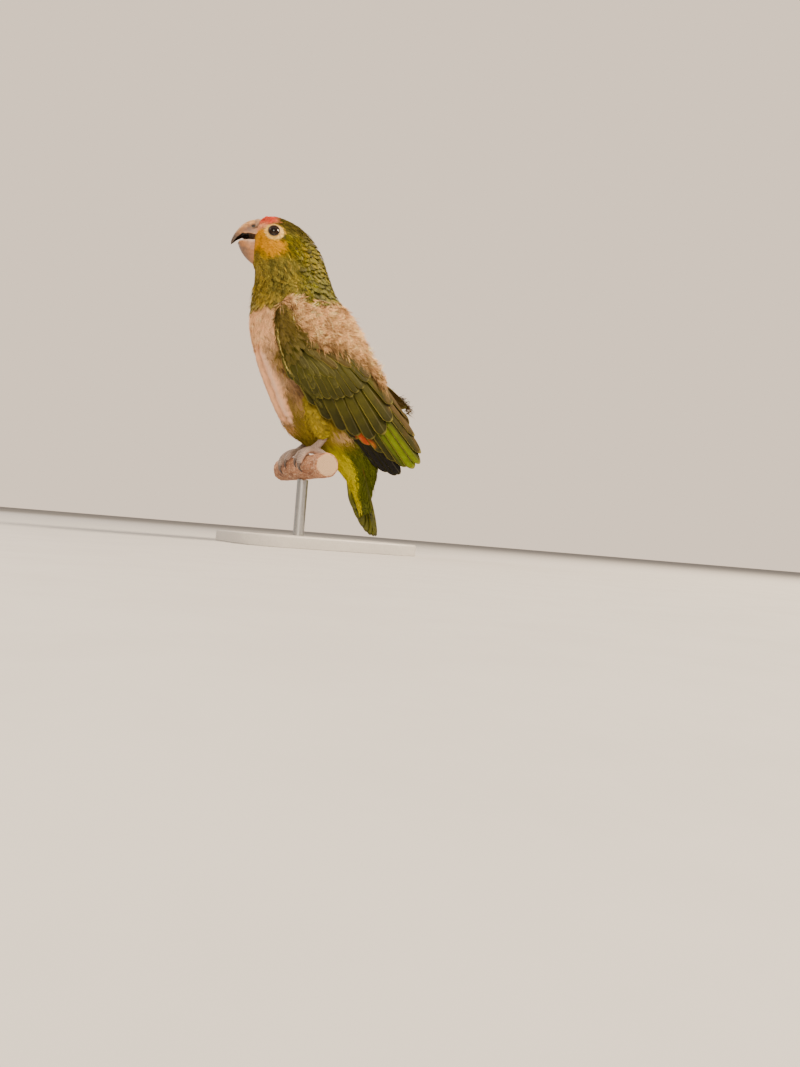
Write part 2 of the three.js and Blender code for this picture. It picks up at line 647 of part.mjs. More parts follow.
const tailCut = (ribIndex("tailRoot") + ribIndex("vent")) / 2;
const [headAndNeck, trunk] = part(body, ribIndex("neckBase"));
const [headAlone, neck] = part(headAndNeck, (ribIndex("neck") + ribIndex("nape")) / 2);
const [torso, tailFlesh] = part(trunk, tailCut);

let head = headAlone;
for (const side of [1, -1])
  head = head.add(withHead(lids(side))).subtract(withHead(eyeball(side, GAP)));
model.add(node("torso", torso, COLOURS.down));
model.add(node("neck", neck, COLOURS.green));
model.add(node("head", head, COLOURS.cheek));
model.add(node("eye_left", withHead(eyeball(1)), COLOURS.eye, 0.1));
model.add(node("eye_right", withHead(eyeball(-1)), COLOURS.eye, 0.1));

model.add(node("bill_upper", withHead(upperBill().subtract(tongue(GAP))).subtract(bodyRoom), COLOURS.horn, 0.45));
model.add(node("bill_lower", withHead(lowerBill().subtract(tongue(GAP))).subtract(bodyRoom), COLOURS.horn, 0.45));
model.add(node("tongue", withHead(tongue()).subtract(bodyRoom), COLOURS.tongue, 0.35));
model.add(node("cere", withHead(cere()).subtract(bodyRoom), COLOURS.skin, 0.6));

const middle = [1, 0, 0];
const wing = leftWing().trimByPlane(middle, WING_CLEAR);
const lift = [0, -WING.shoulder[0], -WING.shoulder[1]];
const rightWing = wing.mirror(middle).translate(lift).rotate([RIGHT_WING_LIFT, 0, 0])
  .translate(lift.map((v) => -v));
model.add(node("wing_left", wing.subtract(bodyRoom), COLOURS.green));
model.add(node("wing_right", rightWing.subtract(bodyRoom), COLOURS.green));
const [torsoRoom] = part(bodyRoom, tailCut - 1e-3);
model.add(node("tail", part(tail(), tailCut)[1].add(tailFlesh).subtract(torsoRoom), COLOURS.green));

for (const [name, side] of [["left", 1], ["right", -1]]) {
  const wingRoom = name === "left" ? wing : rightWing;
  model.add(node(`thigh_${name}`, thigh(side).subtract(bodyRoom).subtract(wingRoom), COLOURS.olive));
  model.add(node(`foot_${name}`, foot(side).subtract(thigh(side, GAP)).subtract(bodyRoom), COLOURS.skin));
  for (const one of TOES) {
    const nail = claw(side, one).subtract(toe(side, one, GAP));
    model.add(node(`claw_${name}_${one.name}`, nail, COLOURS.claw, 0.35));
  }
}

model.add(node("perch", perch(), COLOURS.bark, 0.85));
model.add(node("stand_rod", standRod(), COLOURS.steel, 0.35, 0.8));
model.add(node("stand_base", standBase(), COLOURS.stand, 0.6));

export default model;
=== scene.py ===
"""Looks of a life-size red-lored amazon, a young bird that grips a short cut perch on a plain display stand.

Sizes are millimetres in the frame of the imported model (+Z up, the bird faces -Y, its left side is +X) and become
metres only when a mesh is made. The flesh is one skin, and all feathers and down are thin meshes over it.
"""

import logging
import math
from collections.abc import Callable, Sequence
from dataclasses import dataclass, field, replace
from enum import Enum
from functools import cache, cached_property

import bpy
import numpy as np
from mathutils import Matrix


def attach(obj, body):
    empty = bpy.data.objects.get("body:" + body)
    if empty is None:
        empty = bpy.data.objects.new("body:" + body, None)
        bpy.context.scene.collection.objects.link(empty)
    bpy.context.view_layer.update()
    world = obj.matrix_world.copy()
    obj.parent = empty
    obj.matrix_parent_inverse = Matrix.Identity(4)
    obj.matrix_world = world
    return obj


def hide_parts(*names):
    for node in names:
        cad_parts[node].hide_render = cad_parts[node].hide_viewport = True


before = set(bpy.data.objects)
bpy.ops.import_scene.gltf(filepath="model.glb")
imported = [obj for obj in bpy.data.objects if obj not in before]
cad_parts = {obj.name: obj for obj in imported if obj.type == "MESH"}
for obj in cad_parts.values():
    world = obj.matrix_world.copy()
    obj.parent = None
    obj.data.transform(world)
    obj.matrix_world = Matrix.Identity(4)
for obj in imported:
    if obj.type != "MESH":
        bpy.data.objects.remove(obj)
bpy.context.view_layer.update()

LOG = logging.getLogger("amazon")
MM = 0.001
BODY = "root"
Array = np.ndarray
Colour = tuple[float, float, float]
Socket, Node, Tree = bpy.types.NodeSocket, bpy.types.Node, bpy.types.NodeTree
PERCH_AXIS = (-3.0, 72.0)
PERCH_RADIUS = 11.0
# The size of one feather's patch on the unwrap.
PATCH = 0.003
# Places along a strand of down, and its width at each of them.
STRAND = np.array([[0.0, 0.4, 0.75, 1.0], [0.7, 1.0, 0.7, 0.12]])


class Hue(Enum):
    """The plumage and skin colours, as linear red, green and blue."""

    FOREHEAD = (0.76, 0.115, 0.065)
    LORES = (0.98, 0.46, 0.24)
    CHEEK = (0.70, 0.33, 0.0)
    CHEEK_EDGE = (0.36, 0.22, 0.002)
    EYE_RING = (0.98, 0.62, 0.15)
    LID = (0.045, 0.026, 0.018)
    CROWN = (0.085, 0.070, 0.010)
    EAR = (0.135, 0.118, 0.003)
    NECK = (0.172, 0.146, 0.024)
    NAPE = (0.115, 0.110, 0.010)
    THROAT = (0.27, 0.20, 0.022)
    CHEST = (0.96, 0.57, 0.30)
    CHEST_LOW = (0.58, 0.36, 0.20)
    KEEL = (0.98, 0.50, 0.26)
    BELLY = (0.165, 0.118, 0.013)
    BELLY_YELLOW = (0.235, 0.175, 0.009)
    VENT = (0.56, 0.36, 0.19)
    UNDER_TAIL = (0.50, 0.44, 0.001)
    RUMP = (0.074, 0.088, 0.004)
    DOWN = (0.95, 0.57, 0.27)
    # Painted shade at the roots of the down and on the skin under it.
    DOWN_ROOT_SHADE = (0.150, 0.080, 0.042)
    SHOULDER = (0.128, 0.094, 0.020)
    WING = (0.042, 0.040, 0.0012)
    WING_DARK = (0.014, 0.014, 0.0005)
    WING_EDGE = (0.20, 0.178, 0.030)
    LEADING = (0.70, 0.57, 0.17)
    BRIGHT = (0.100, 0.140, 0.001)
    OLIVE = (0.028, 0.026, 0.001)
    PRIMARY = (0.0035, 0.003, 0.003)
    SPECULUM = (0.42, 0.060, 0.010)
    AMBER = (0.42, 0.18, 0.008)
    WORN = (0.082, 0.048, 0.010)
    TAN = (0.36, 0.21, 0.095)
    TAIL = (0.086, 0.100, 0.004)
    TAIL_EDGE = (0.20, 0.19, 0.012)
    TAIL_DARK = (0.008, 0.010, 0.003)
    HORN = (0.46, 0.215, 0.088)
    HORN_RIDGE = (0.66, 0.35, 0.13)
    HORN_GREY = (0.17, 0.088, 0.070)
    HORN_GAPE_SHADE = (0.075, 0.045, 0.034)
    HORN_TIP = (0.075, 0.056, 0.045)
    HORN_HOLLOW_SHADE = (0.010, 0.007, 0.006)
    NOSTRIL_SHADE = (0.012, 0.008, 0.006)
    JAW = (0.47, 0.20, 0.068)
    JAW_GREY = (0.16, 0.098, 0.070)
    JAW_EDGE = (0.58, 0.44, 0.32)
    JAW_HOLLOW_SHADE = (0.014, 0.009, 0.008)
    CERE = (0.38, 0.20, 0.10)
    CERE_LOW = (0.13, 0.085, 0.060)
    CERE_GREY = (0.24, 0.165, 0.11)
    CERE_TOP = (0.50, 0.34, 0.23)
    CERE_HOLE_SHADE = (0.03, 0.018, 0.013)
    TONGUE = (0.022, 0.016, 0.016)
    PUPIL = (0.010, 0.006, 0.005)
    IRIS = (0.026, 0.012, 0.007)
    # Painted shade in the crease beside the keel, and a painted highlight along the raised fold beyond it.
    KEEL_CREASE_SHADE = (0.44, 0.21, 0.12)
    KEEL_FOLD_HIGHLIGHT = (0.86, 0.62, 0.47)
    FOOT = (0.40, 0.30, 0.25)
    FOOT_GROOVE = (0.17, 0.12, 0.10)
    SOLE = (0.52, 0.36, 0.29)
    CLAW = (0.13, 0.095, 0.08)
    CLAW_TIP = (0.045, 0.035, 0.032)

    @property
    def rgb(self) -> Array:
        """The colour as an array of three numbers."""
        return np.array(self.value)


Shade = Hue | Array


# ---------------------------------------------------------------- numbers


def smooth(x: Array, low: float, high: float) -> Array:
    """Gives 0 below low, 1 above high and the cubic 3t^2 - 2t^3 between them."""
    t = np.clip((np.asarray(x, float) - low) / (high - low), 0.0, 1.0)
    return t * t * (3.0 - 2.0 * t)


def unit(v: Array) -> Array:
    """Scales vectors along the last axis to length 1."""
    return v / np.maximum(np.linalg.norm(v, axis=-1, keepdims=True), 1e-12)


def spline(rows: Array, u: Array) -> Array:
    """Reads a Catmull-Rom curve through rows of numbers.

    Args:
        rows: The rows that the curve passes through, one per equal step of u.
        u: Places from 0 at the first row to 1 at the last.

    Returns:
        One row per place, on a new last axis.
    """
    place = np.clip(np.asarray(u, float), 0.0, 1.0) * (len(rows) - 1)
    i = np.minimum(place.astype(int), len(rows) - 2)
    f = (place - i)[..., None]
    a, b, c, d = (rows[np.clip(i + k, 0, len(rows) - 1)] for k in (-1, 0, 1, 2))
    return b + 0.5 * f * (c - a + f * (2 * a - 5 * b + 4 * c - d + f * (3 * (b - c) + d - a)))


def ripple(points: Array, wave: float, seed: int, terms: int = 9) -> Array:
    """Smooth solid noise from about -1 to 1: a sum of sines along random directions.

    Args:
        points: Places in millimetres, on the last axis.
        wave: The usual length of a wave, in millimetres.
        seed: The draw of directions and phases.
        terms: How many sines are summed.

    Returns:
        One number per place.
    """
    rng = np.random.default_rng(seed)
    ways = unit(rng.normal(size=(terms, 3))) * rng.uniform(0.6, 1.6, (terms, 1)) * 2 * np.pi / wave
    return np.sin(points @ ways.T + rng.uniform(0, 2 * np.pi, terms)).sum(-1) / math.sqrt(terms) / 1.3


def bell(x: Array, middle: float, width: float) -> Array:
    """A bell of height 1: exp(-((x - middle) / width)^2)."""
    return np.exp(-(((x - middle) / width) ** 2))


def on_plane(s: Array, t: Array) -> Array:
    """Places on a plane as points, for noise that is read from s and t."""
    return np.stack([s, t, 0 * s], -1)


def painted(base: Shade, shape: tuple[int, ...], *coats: tuple[Shade, Array]) -> Array:
    """Lays colours over a base, one after another.

    Args:
        base: The first colour, or one for each place.
        shape: The shape of the places, without the colour's own axis.
        coats: Each further colour, and the share that it takes at each place.

    Returns:
        Red, green and blue at each place.
    """
    tint = np.broadcast_to(base.rgb if isinstance(base, Hue) else base, (*shape, 3)).copy()
    for shade, share in coats:
        share = np.clip(share, 0.0, 1.0)[..., None]
        tint = tint * (1 - share) + (shade.rgb if isinstance(shade, Hue) else shade) * share
    return tint


# ---------------------------------------------------------------- meshes


@dataclass
class Mesh:
    """Points and faces of one piece, with what each point carries.

    Attributes:
        points: Places in millimetres.
        faces: Quads as rows of four point numbers; a triangle repeats its last one.
        vane: A place on the feather for each point: across from 0 to 1, and along from root to tip.
        bake: A place on the unwrap for each point.
        tint: The main colour at each point.
        rim: The colour of the feather's edge at each point.
    """

    points: Array
    faces: Array
    vane: Array | None = None
    bake: Array | None = None
    tint: Array | None = None
    rim: Array | None = None

    @staticmethod
    def joined(parts: Sequence["Mesh"]) -> "Mesh":
        """Puts several meshes of the same kind into one.

        Args:
            parts: The meshes.

        Returns:
            One mesh, without the attributes that a part lacks.
        """
        starts = np.cumsum([0] + [len(part.points) for part in parts[:-1]])

        def stack(name: str) -> Array | None:
            """Stacks one attribute, or gives None where a part lacks it."""
            values = [getattr(part, name) for part in parts]
            return None if any(value is None for value in values) else np.concatenate(values)

        faces = np.concatenate([part.faces + start for part, start in zip(parts, starts)])
        return Mesh(stack("points"), faces, stack("vane"), stack("bake"), stack("tint"), stack("rim"))

    def mirrored(self) -> "Mesh":
        """The same mesh on the other side of x = 0, still facing out.

        Returns:
            The mirrored mesh.
        """
        points = self.points * np.array([-1.0, 1.0, 1.0])
        bake = None if self.bake is None else np.stack([1 - self.bake[:, 0], self.bake[:, 1]], -1)
        return replace(self, points=points, faces=turned_faces(self.faces), bake=bake)


def grid_faces(rows: int, columns: int, round_columns: bool = False) -> Array:
    """The quads of a grid of points, row by row.

    Args:
        rows: How many rows of points there are.
        columns: How many points there are in a row.
        round_columns: Whether the last column joins the first one.

    Returns:
        Rows of four point numbers.
    """
    i, j = np.meshgrid(np.arange(rows - 1), np.arange(columns if round_columns else columns - 1), indexing="ij")
    k = (j + 1) % columns
    return np.stack([i * columns + j, i * columns + k, (i + 1) * columns + k, (i + 1) * columns + j], -1).reshape(-1, 4)


def tube(rings: Array, start: Array, end: Array, tint: Array | None = None) -> Mesh:
    """A closed surface over rings of points, with a pole at each end.

    Args:
        rings: Points as ring, side, xyz.
        start: The pole before the first ring.
        end: The pole behind the last one.
        tint: Colours as ring, side, rgb; a pole takes the mean of its ring.

    Returns:
        The mesh, with its rings and sides as bake places.
    """
    count, sides = rings.shape[:2]
    points = np.concatenate([rings.reshape(-1, 3), [start, end]])
    side = np.arange(sides)
    last = (count - 1) * sides
    first_pole, last_pole = count * sides, count * sides + 1
    near = np.stack([(side + 1) % sides, side, np.full(sides, first_pole), np.full(sides, first_pole)], -1)
    far = np.stack([last + side, last + (side + 1) % sides, np.full(sides, last_pole), np.full(sides, last_pole)], -1)
    faces = np.concatenate([grid_faces(count, sides, True), near, far])
    u, v = np.meshgrid(np.linspace(0.02, 0.98, count), np.arange(sides) / sides, indexing="ij")
    bake = np.concatenate([np.stack([u, v], -1).reshape(-1, 2), [[0.0, 0.5], [1.0, 0.5]]])
    mesh = Mesh(points, faces, bake=bake)
    if tint is not None:
        ends = np.stack([tint[0].mean(0), tint[-1].mean(0)])
        mesh.tint = np.concatenate([tint.reshape(-1, 3), ends])
    return mesh if volume(mesh) > 0 else replace(mesh, faces=turned_faces(mesh.faces))


def turned_faces(faces: Array) -> Array:
    """The same faces looking the other way.

    Args:
        faces: Rows of four point numbers.

    Returns:
        The rows with their order turned.
    """
    turned = faces[:, ::-1].copy()
    short = faces[:, 2] == faces[:, 3]
    turned[short] = faces[short][:, [1, 0, 2, 2]]
    return turned


def volume(mesh: Mesh) -> float:
    """Six times the signed volume inside a closed mesh."""
    a, b, c, d = (mesh.points[mesh.faces[:, k]] for k in range(4))
    return float((np.cross(a, b) * c).sum() + (np.cross(a, c) * d).sum())


def build(name: str, mesh: Mesh, finish: "Finishes", nodes: Sequence[str] = ()) -> None:
    """Makes a Blender object of a mesh, at the origin, and sets it on the bird.

    A mesh of feathers or down carries its bake places as a map of its own.

    Args:
        name: The piece's name.
        mesh: Its points, faces and attributes.
        finish: Its material.
        nodes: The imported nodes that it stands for.
    """
    data = bpy.data.meshes.new(name)
    short = mesh.faces[:, 2] == mesh.faces[:, 3]
    totals = np.where(short, 3, 4)
    corners = mesh.faces[~(short[:, None] & (np.arange(4) == 3))]
    data.vertices.add(len(mesh.points))
    data.vertices.foreach_set("co", (mesh.points * MM).astype(np.float32).ravel())
    data.loops.add(len(corners))
    data.loops.foreach_set("vertex_index", corners.astype(np.int32))
    data.polygons.add(len(totals))
    data.polygons.foreach_set("loop_start", np.concatenate([[0], np.cumsum(totals)[:-1]]).astype(np.int32))
    data.polygons.foreach_set("use_smooth", np.full(len(totals), True))
    data.update(calc_edges=True)
    if mesh.vane is not None:
        for label, values in (("Vane", mesh.vane), ("OFBake", mesh.bake)):
            data.uv_layers.new(name=label).data.foreach_set("uv", values[corners].astype(np.float32).ravel())
    for label, values in (("Tint", mesh.tint), ("Rim", mesh.rim)):
        if values is not None:
            colours = np.concatenate([values, np.ones((len(values), 1))], 1).astype(np.float32)
            data.attributes.new(label, "FLOAT_COLOR", "POINT").data.foreach_set("color", colours.ravel())
    data.validate()
    data.materials.append(finish.material)
    made = placed(name, data)
    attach(made, BODY)
    if nodes:
        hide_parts(*nodes)
    LOG.info("%s: %d faces", name, len(totals))


def placed(name: str, data: bpy.types.ID) -> bpy.types.Object:
    """Makes an object of a mesh, light or camera and links it to the scene.

    Args:
        name: The object's name.
        data: The mesh, light or camera.

    Returns:
        The object.
    """
    made = bpy.data.objects.new(name, data)
    bpy.context.scene.collection.objects.link(made)
    return made


# ---------------------------------------------------------------- forms that feathers grow on


class Form:
    """A surface of two parameters, p along the lie of the feathers and q across it."""

    step_p: float = 1e-3
    step_q: float = 1e-3
    hand: float = 1.0

    def at(self, p: Array, q: Array, lift: Array | float = 0.0) -> Array:
        """The point at p and q, pushed out by lift."""
        raise NotImplementedError

    def unwrap(self, p: Array, q: Array) -> Array:
        """The place of p and q on a square map."""
        raise NotImplementedError

    def basis(self, p: Array, q: Array) -> tuple[Array, Array, Array]:
        """The outward normal and the surface's change for a unit of p and of q, by central differences.

        Args:
            p: Places along the form.
            q: Places across it.

        Returns:
            The normal, the change for a unit of p, and the change for a unit of q.
        """
        along = (self.at(p + self.step_p, q) - self.at(p - self.step_p, q)) / (2 * self.step_p)
        across = (self.at(p, q + self.step_q) - self.at(p, q - self.step_q)) / (2 * self.step_q)
        return unit(np.cross(across, along)) * self.hand, along, across

    def steps(self, p: Array, q: Array, way: Array) -> tuple[Array, Array]:
        """How much p and q change for a millimetre along the given direction, by least squares.

        Args:
            p: Places along the form.
            q: Places across it.
            way: A direction in space at each place.

        Returns:
            The change of p and the change of q.
        """
        _, a, b = self.basis(p, q)
        aa, ab, bb = (a * a).sum(-1), (a * b).sum(-1), (b * b).sum(-1)
        wa, wb = (way * a).sum(-1), (way * b).sum(-1)
        det = np.maximum(aa * bb - ab * ab, 1e-9)
        return (wa * bb - wb * ab) / det, (wb * aa - wa * ab) / det

    def towards(self, p: Array, q: Array, dp: Array | float, dq: Array | float) -> Array:
        """The way in space from p and q to a place a little further on."""
        return self.at(p + dp, q + dq) - self.at(p, q)

    def laid(self, p: Array, q: Array, way: Array) -> tuple[Array, Array, Array]:
        """The normal, the given direction laid flat on the surface, and the direction beside it.

        Args:
            p: Places along the form.
            q: Places across it.
            way: A direction in space at each place.

        Returns:
            The normal, the flat direction, and the direction beside it.
        """
        normal, _, _ = self.basis(p, q)
        way = unit(way - (way * normal).sum(-1, keepdims=True) * normal)
        return normal, way, np.cross(normal, way)

    def face_out(self, p: Array, q: Array) -> None:
        """Sets the hand so that normals point the way that lift pushes."""
        out = self.at(p, q, np.ones(len(p))) - self.at(p, q)
        self.hand *= float(np.sign(np.median((out * self.basis(p, q)[0]).sum(-1))))


@dataclass(frozen=True)
class HeadTurn:
    """The turn of the head to the bird's right, about an upright line through the neck."""

    yaw: float = 16.0
    pivot: float = -30.0
    start: float = 8 / 14
    end: float = 12 / 14

    def apply(self, points: Array, share: Array | float = 1.0) -> Array:
        """Turns points by a share of the yaw.

        Args:
            points: Places in millimetres.
            share: The share of the yaw that each one takes.

        Returns:
            The turned points.
        """
        angle = -math.radians(self.yaw) * np.asarray(share)
        x, y = points[..., 0], points[..., 1] - self.pivot
        c, s = np.cos(angle), np.sin(angle)
        return np.stack([x * c - y * s, x * s + y * c + self.pivot, points[..., 2]], -1)


TURN = HeadTurn()


@dataclass
class BodyForm(Form):
    """The lofted flesh from the tail's root, where p is 0, to the face, where p is 1.

    Each rib is an oval across the middle plane: x = half cos q, and the place between the rib's front and back
    point goes as (1 + sin q) / 2. The ribs are joined by Catmull-Rom curves and turned with the head. One more rib
    lies beyond the tail's root, for the feathers that reach past it.
    """

    ribs: Array = field(default_factory=lambda: np.array([
        [65, 16, 69.5, 17.5, 9], [55, 43, 64, 47, 12], [44, 64, 68, 76, 16.5], [27, 79, 67, 98, 21],
        [-2, 94, 62, 119, 27], [-25, 109, 58, 141, 31], [-42, 136, 54, 165, 33], [-56, 165, 47, 190, 33.5],
        [-63, 190, 32, 210, 32.5], [-62, 211, 13, 227, 30], [-61.5, 225, 3, 244, 26], [-61.3, 234, -8, 265, 23.2],
        [-61.6, 239.5, -24, 281, 22], [-62.2, 242.5, -43, 288, 20.4], [-63.2, 244.4, -56.5, 286.8, 16.8],
        [-64.5, 247, -63.2, 280.6, 11.2],
    ], float))
    tail_pole: tuple[float, float] = (62.0, 36.0)
    face_pole: tuple[float, float] = (-66.0, 263.0)
    step_p: float = 2e-3
    step_q: float = 1e-2

    def still(self, p: Array, q: Array, lift: Array | float = 0.0) -> Array:
        """The point at p and q before the head is turned.

        Args:
            p: Places along the form.
            q: Places across it.
            lift: How far the points are pushed out.

        Returns:
            The points.
        """
        last = len(self.ribs) - 1
        fy, fz, by, bz, half = np.moveaxis(spline(self.ribs, (1 + np.asarray(p) * (last - 1)) / last), -1, 0)
        reach = np.hypot(by - fy, bz - fz)
        up = 0.5 + (0.5 + lift / reach) * np.sin(q)
        return np.stack([(half + lift) * np.cos(q), fy + (by - fy) * up, fz + (bz - fz) * up], -1)

    def at(self, p: Array, q: Array, lift: Array | float = 0.0) -> Array:
        """The point at p and q."""
        return TURN.apply(self.still(p, q, lift), smooth(p, TURN.start, TURN.end))

    def unwrap(self, p: Array, q: Array) -> Array:
        """p upwards and q round the body."""
        return np.stack([(q / (2 * np.pi)) % 1.0, 0.02 + 0.96 * np.clip(p, 0, 1)], -1)

    def lie(self, p: Array, q: Array) -> Array:
        """The way that feathers point: from the face towards the tail."""
        return -self.basis(p, q)[1]


@dataclass
class LimbForm(Form):
    """The feathered thigh: a tube round a Catmull-Rom curve, whose radius is a parabola through three sizes."""

    side: float = 1.0
    path: Array = field(default_factory=lambda: np.array([[13, -10, 142], [17.5, -4, 120], [18, 8, 99]], float))
    radii: tuple[float, float, float] = (15.0, 13.4, 5.4)
    step_q: float = 1e-2

    def at(self, p: Array, q: Array, lift: Array | float = 0.0) -> Array:
        """The point at p down the thigh and angle q round it; q = 0 faces outwards.

        Args:
            p: Places from hip to heel.
            q: Angles round the thigh.
            lift: How far the points are pushed out.

        Returns:
            The points.
        """
        centre = spline(self.path, p)
        tangent = unit(spline(self.path, np.clip(p, 0, 0.99) + 0.01) - spline(self.path, np.clip(p, 0, 0.99)))
        out = unit(np.array([1.0, 0.0, 0.0]) - tangent * tangent[..., :1])
        back = np.cross(tangent, out)
        a, b, c = self.radii
        u = np.clip(p, 0, 1)
        radius = a + (4 * b - 3 * a - c) * u + (2 * a + 2 * c - 4 * b) * u * u + lift
        made = centre + out * (radius * np.cos(q))[..., None] + back * (radius * np.sin(q))[..., None]
        return made * np.array([self.side, 1.0, 1.0])

    def unwrap(self, p: Array, q: Array) -> Array:
        """p upwards and q round the thigh."""
        return np.stack([(q / (2 * np.pi)) % 1.0, 0.02 + 0.96 * np.clip(p, 0, 1)], -1)


@dataclass
class WingForm(Form):
    """The dome of the folded left wing over the plane of s, from shoulder to tip, and t, from belly edge to back.

    Its height over the middle plane is H(s), less a parabola in front of the crest, and times
    sqrt(1 - (across / R(s))^2) behind it, where it closes gently towards the back's middle.
    """

    shoulder: tuple[float, float] = (-51.0, 208.0)
    lean: float = 55.0
    crest: float = -10.0
    front_fall: float = 0.0045
    height_s: Array = field(default_factory=lambda: np.array([-12, 8, 35, 70, 100, 130, 165, 210], float))
    height: Array = field(default_factory=lambda: np.array([27, 36, 42.5, 44.5, 41.5, 36, 29, 20], float))
    reach_s: Array = field(default_factory=lambda: np.array([0, 60, 90, 110, 130, 160, 205], float))
    reach: Array = field(default_factory=lambda: np.array([62, 60, 55, 50, 45, 39, 29], float))
    step_p: float = 1.0
    step_q: float = 1.0
    hand: float = -1.0

    @property
    def slant(self) -> tuple[float, float]:
        """The cosine and the sine of its lean."""
        return math.cos(math.radians(self.lean)), math.sin(math.radians(self.lean))

    def bare(self, p: Array, q: Array) -> Array:
        """The point of the dome at s = p and t = q.

        Args:
            p: Places from the shoulder to the tip.
            q: Places from the belly edge to the back.

        Returns:
            The points.
        """
        across = q - self.crest
        top, reach = np.interp(p, self.height_s, self.height), np.interp(p, self.reach_s, self.reach)
        share = np.maximum(across, 0) / reach
        share = np.where(share > 0.86, 0.86 + 0.135 * np.tanh((share - 0.86) / 0.135), share)
        rise = np.where(across < 0, top - self.front_fall * across**2, top * np.sqrt(1 - share**2))
        q = np.where(across > 0, self.crest + share * reach, q)
        c, s = self.slant
        return np.stack([rise, self.shoulder[0] + s * p + c * q, self.shoulder[1] - c * p + s * q], -1)

    def at(self, p: Array, q: Array, lift: Array | float = 0.0) -> Array:
        """The point at p and q, pushed out by lift along the dome's normal.

        Args:
            p: Places from the shoulder to the tip.
            q: Places from the belly edge to the back.
            lift: How far the points are pushed out.

        Returns:
            The points.
        """
        here = self.bare(p, q)
        if np.ndim(lift) == 0 and lift == 0.0:
            return here
        normal = unit(np.cross(self.bare(p + 2, q) - here, self.bare(p, q + 2) - here))
        normal = normal * np.where(normal[..., :1] < 0, -1.0, 1.0)
        return here + normal * np.asarray(lift)[..., None]

    def plane(self, points: Array) -> tuple[Array, Array]:
        """The s and t under which points lie.

        Args:
            points: Places in millimetres.

        Returns:
            Their s and their t.
        """
        c, s = self.slant
        y, z = points[..., 1] - self.shoulder[0], points[..., 2] - self.shoulder[1]
        return s * y - c * z, c * y + s * z

    @staticmethod
    def front(s: Array) -> Array:
        """The wing's front edge, as t for each s."""
        return np.interp(s, [-10, 0, 6, 12, 19, 32, 50, 72], [3, -4, -11, -19.5, -27, -37, -41, -43.5])

    @classmethod
    def fall(cls, s: Array, t: Array) -> Array:
        """How far small feathers lie under the dome, rounding down to the flesh in front and at the shoulder."""
        front = 8.0 * (1 - smooth(t - cls.front(s), 0.0, 12.0)) ** 2.2 * (1 - smooth(s, 28, 62))
        return np.maximum(front, 7.5 * (1 - smooth(s, -7.0, 9.0)) ** 1.3)

    def unwrap(self, p: Array, q: Array) -> Array:
        """s and t on the left half of a square; the right wing is mirrored to the other half."""
        return np.stack([0.02 + 0.44 * np.clip((q + 60) / 110, 0, 1), 0.02 + 0.96 * np.clip((p + 20) / 250, 0, 1)], -1)


class WingPlan(WingForm):
    """The wing's dome, with lengths measured on its plane of s and t, as the tiers of long feathers are set out."""

    def steps(self, p: Array, q: Array, way: Array) -> tuple[Array, Array]:
        """The direction's own steps of s and t, at full length in the plane.

        Args:
            p: Places along the form; not used.
            q: Places across it; not used.
            way: A direction in space at each place.

        Returns:
            The change of s and the change of t.
        """
        c, s = self.slant
        ds, dt = s * way[..., 1] - c * way[..., 2], c * way[..., 1] + s * way[..., 2]
        size = np.maximum(np.hypot(ds, dt), 1e-9)
        return ds / size, dt / size


@dataclass
class TailForm(Form):
    """The plane of the tail: p runs from its root to its tip and q across; hand -1 is its underside."""

    root: tuple[float, float] = (45.0, 100.0)
    tip: tuple[float, float] = (73.0, 14.4)
    hand: float = 1.0
    droop: float = 0.0035
    step_p: float = 1.0
    step_q: float = 1.0

    @property
    def aim(self) -> Array:
        """Its direction from root to tip, in y and z."""
        return np.subtract(self.tip, self.root) / math.dist(self.tip, self.root)

    def at(self, p: Array, q: Array, lift: Array | float = 0.0) -> Array:
        """The point p along the tail and q across, pushed out by lift and drooping to both sides.

        Args:
            p: Places along the form.
            q: Places across it.
            lift: How far the points are pushed out.

        Returns:
            The points.
        """
        ay, az = self.aim
        up = self.hand * lift - self.droop * q**2
        return np.stack([q + 0.0 * p, self.root[0] + ay * p - az * up, self.root[1] + az * p + ay * up], -1)

    def unwrap(self, p: Array, q: Array) -> Array:
        """p upwards and q across, on a quarter of the map."""
        return np.stack([0.25 * self.hand + 0.5 + q / 90, 0.02 + p / 120], -1)


FLESH = BodyForm()
DOME = WingForm()
PLAN = WingPlan()
RIGHT_WING_LIFT = 5.0


def right_wing(mesh: Mesh) -> Mesh:
    """A left wing's mesh as the right wing: mirrored, and its tip lifted about the shoulder.

    Args:
        mesh: The left wing's mesh.

    Returns:
        The right wing's mesh.
    """
    made = mesh.mirrored()
    angle = math.radians(RIGHT_WING_LIFT)
    y, z = made.points[:, 1] - DOME.shoulder[0], made.points[:, 2] - DOME.shoulder[1]
    c, s = math.cos(angle), math.sin(angle)
    made.points = np.stack([made.points[:, 0], DOME.shoulder[0] + y * c - z * s, DOME.shoulder[1] + y * s + z * c], -1)
    return made


# ---------------------------------------------------------------- markings


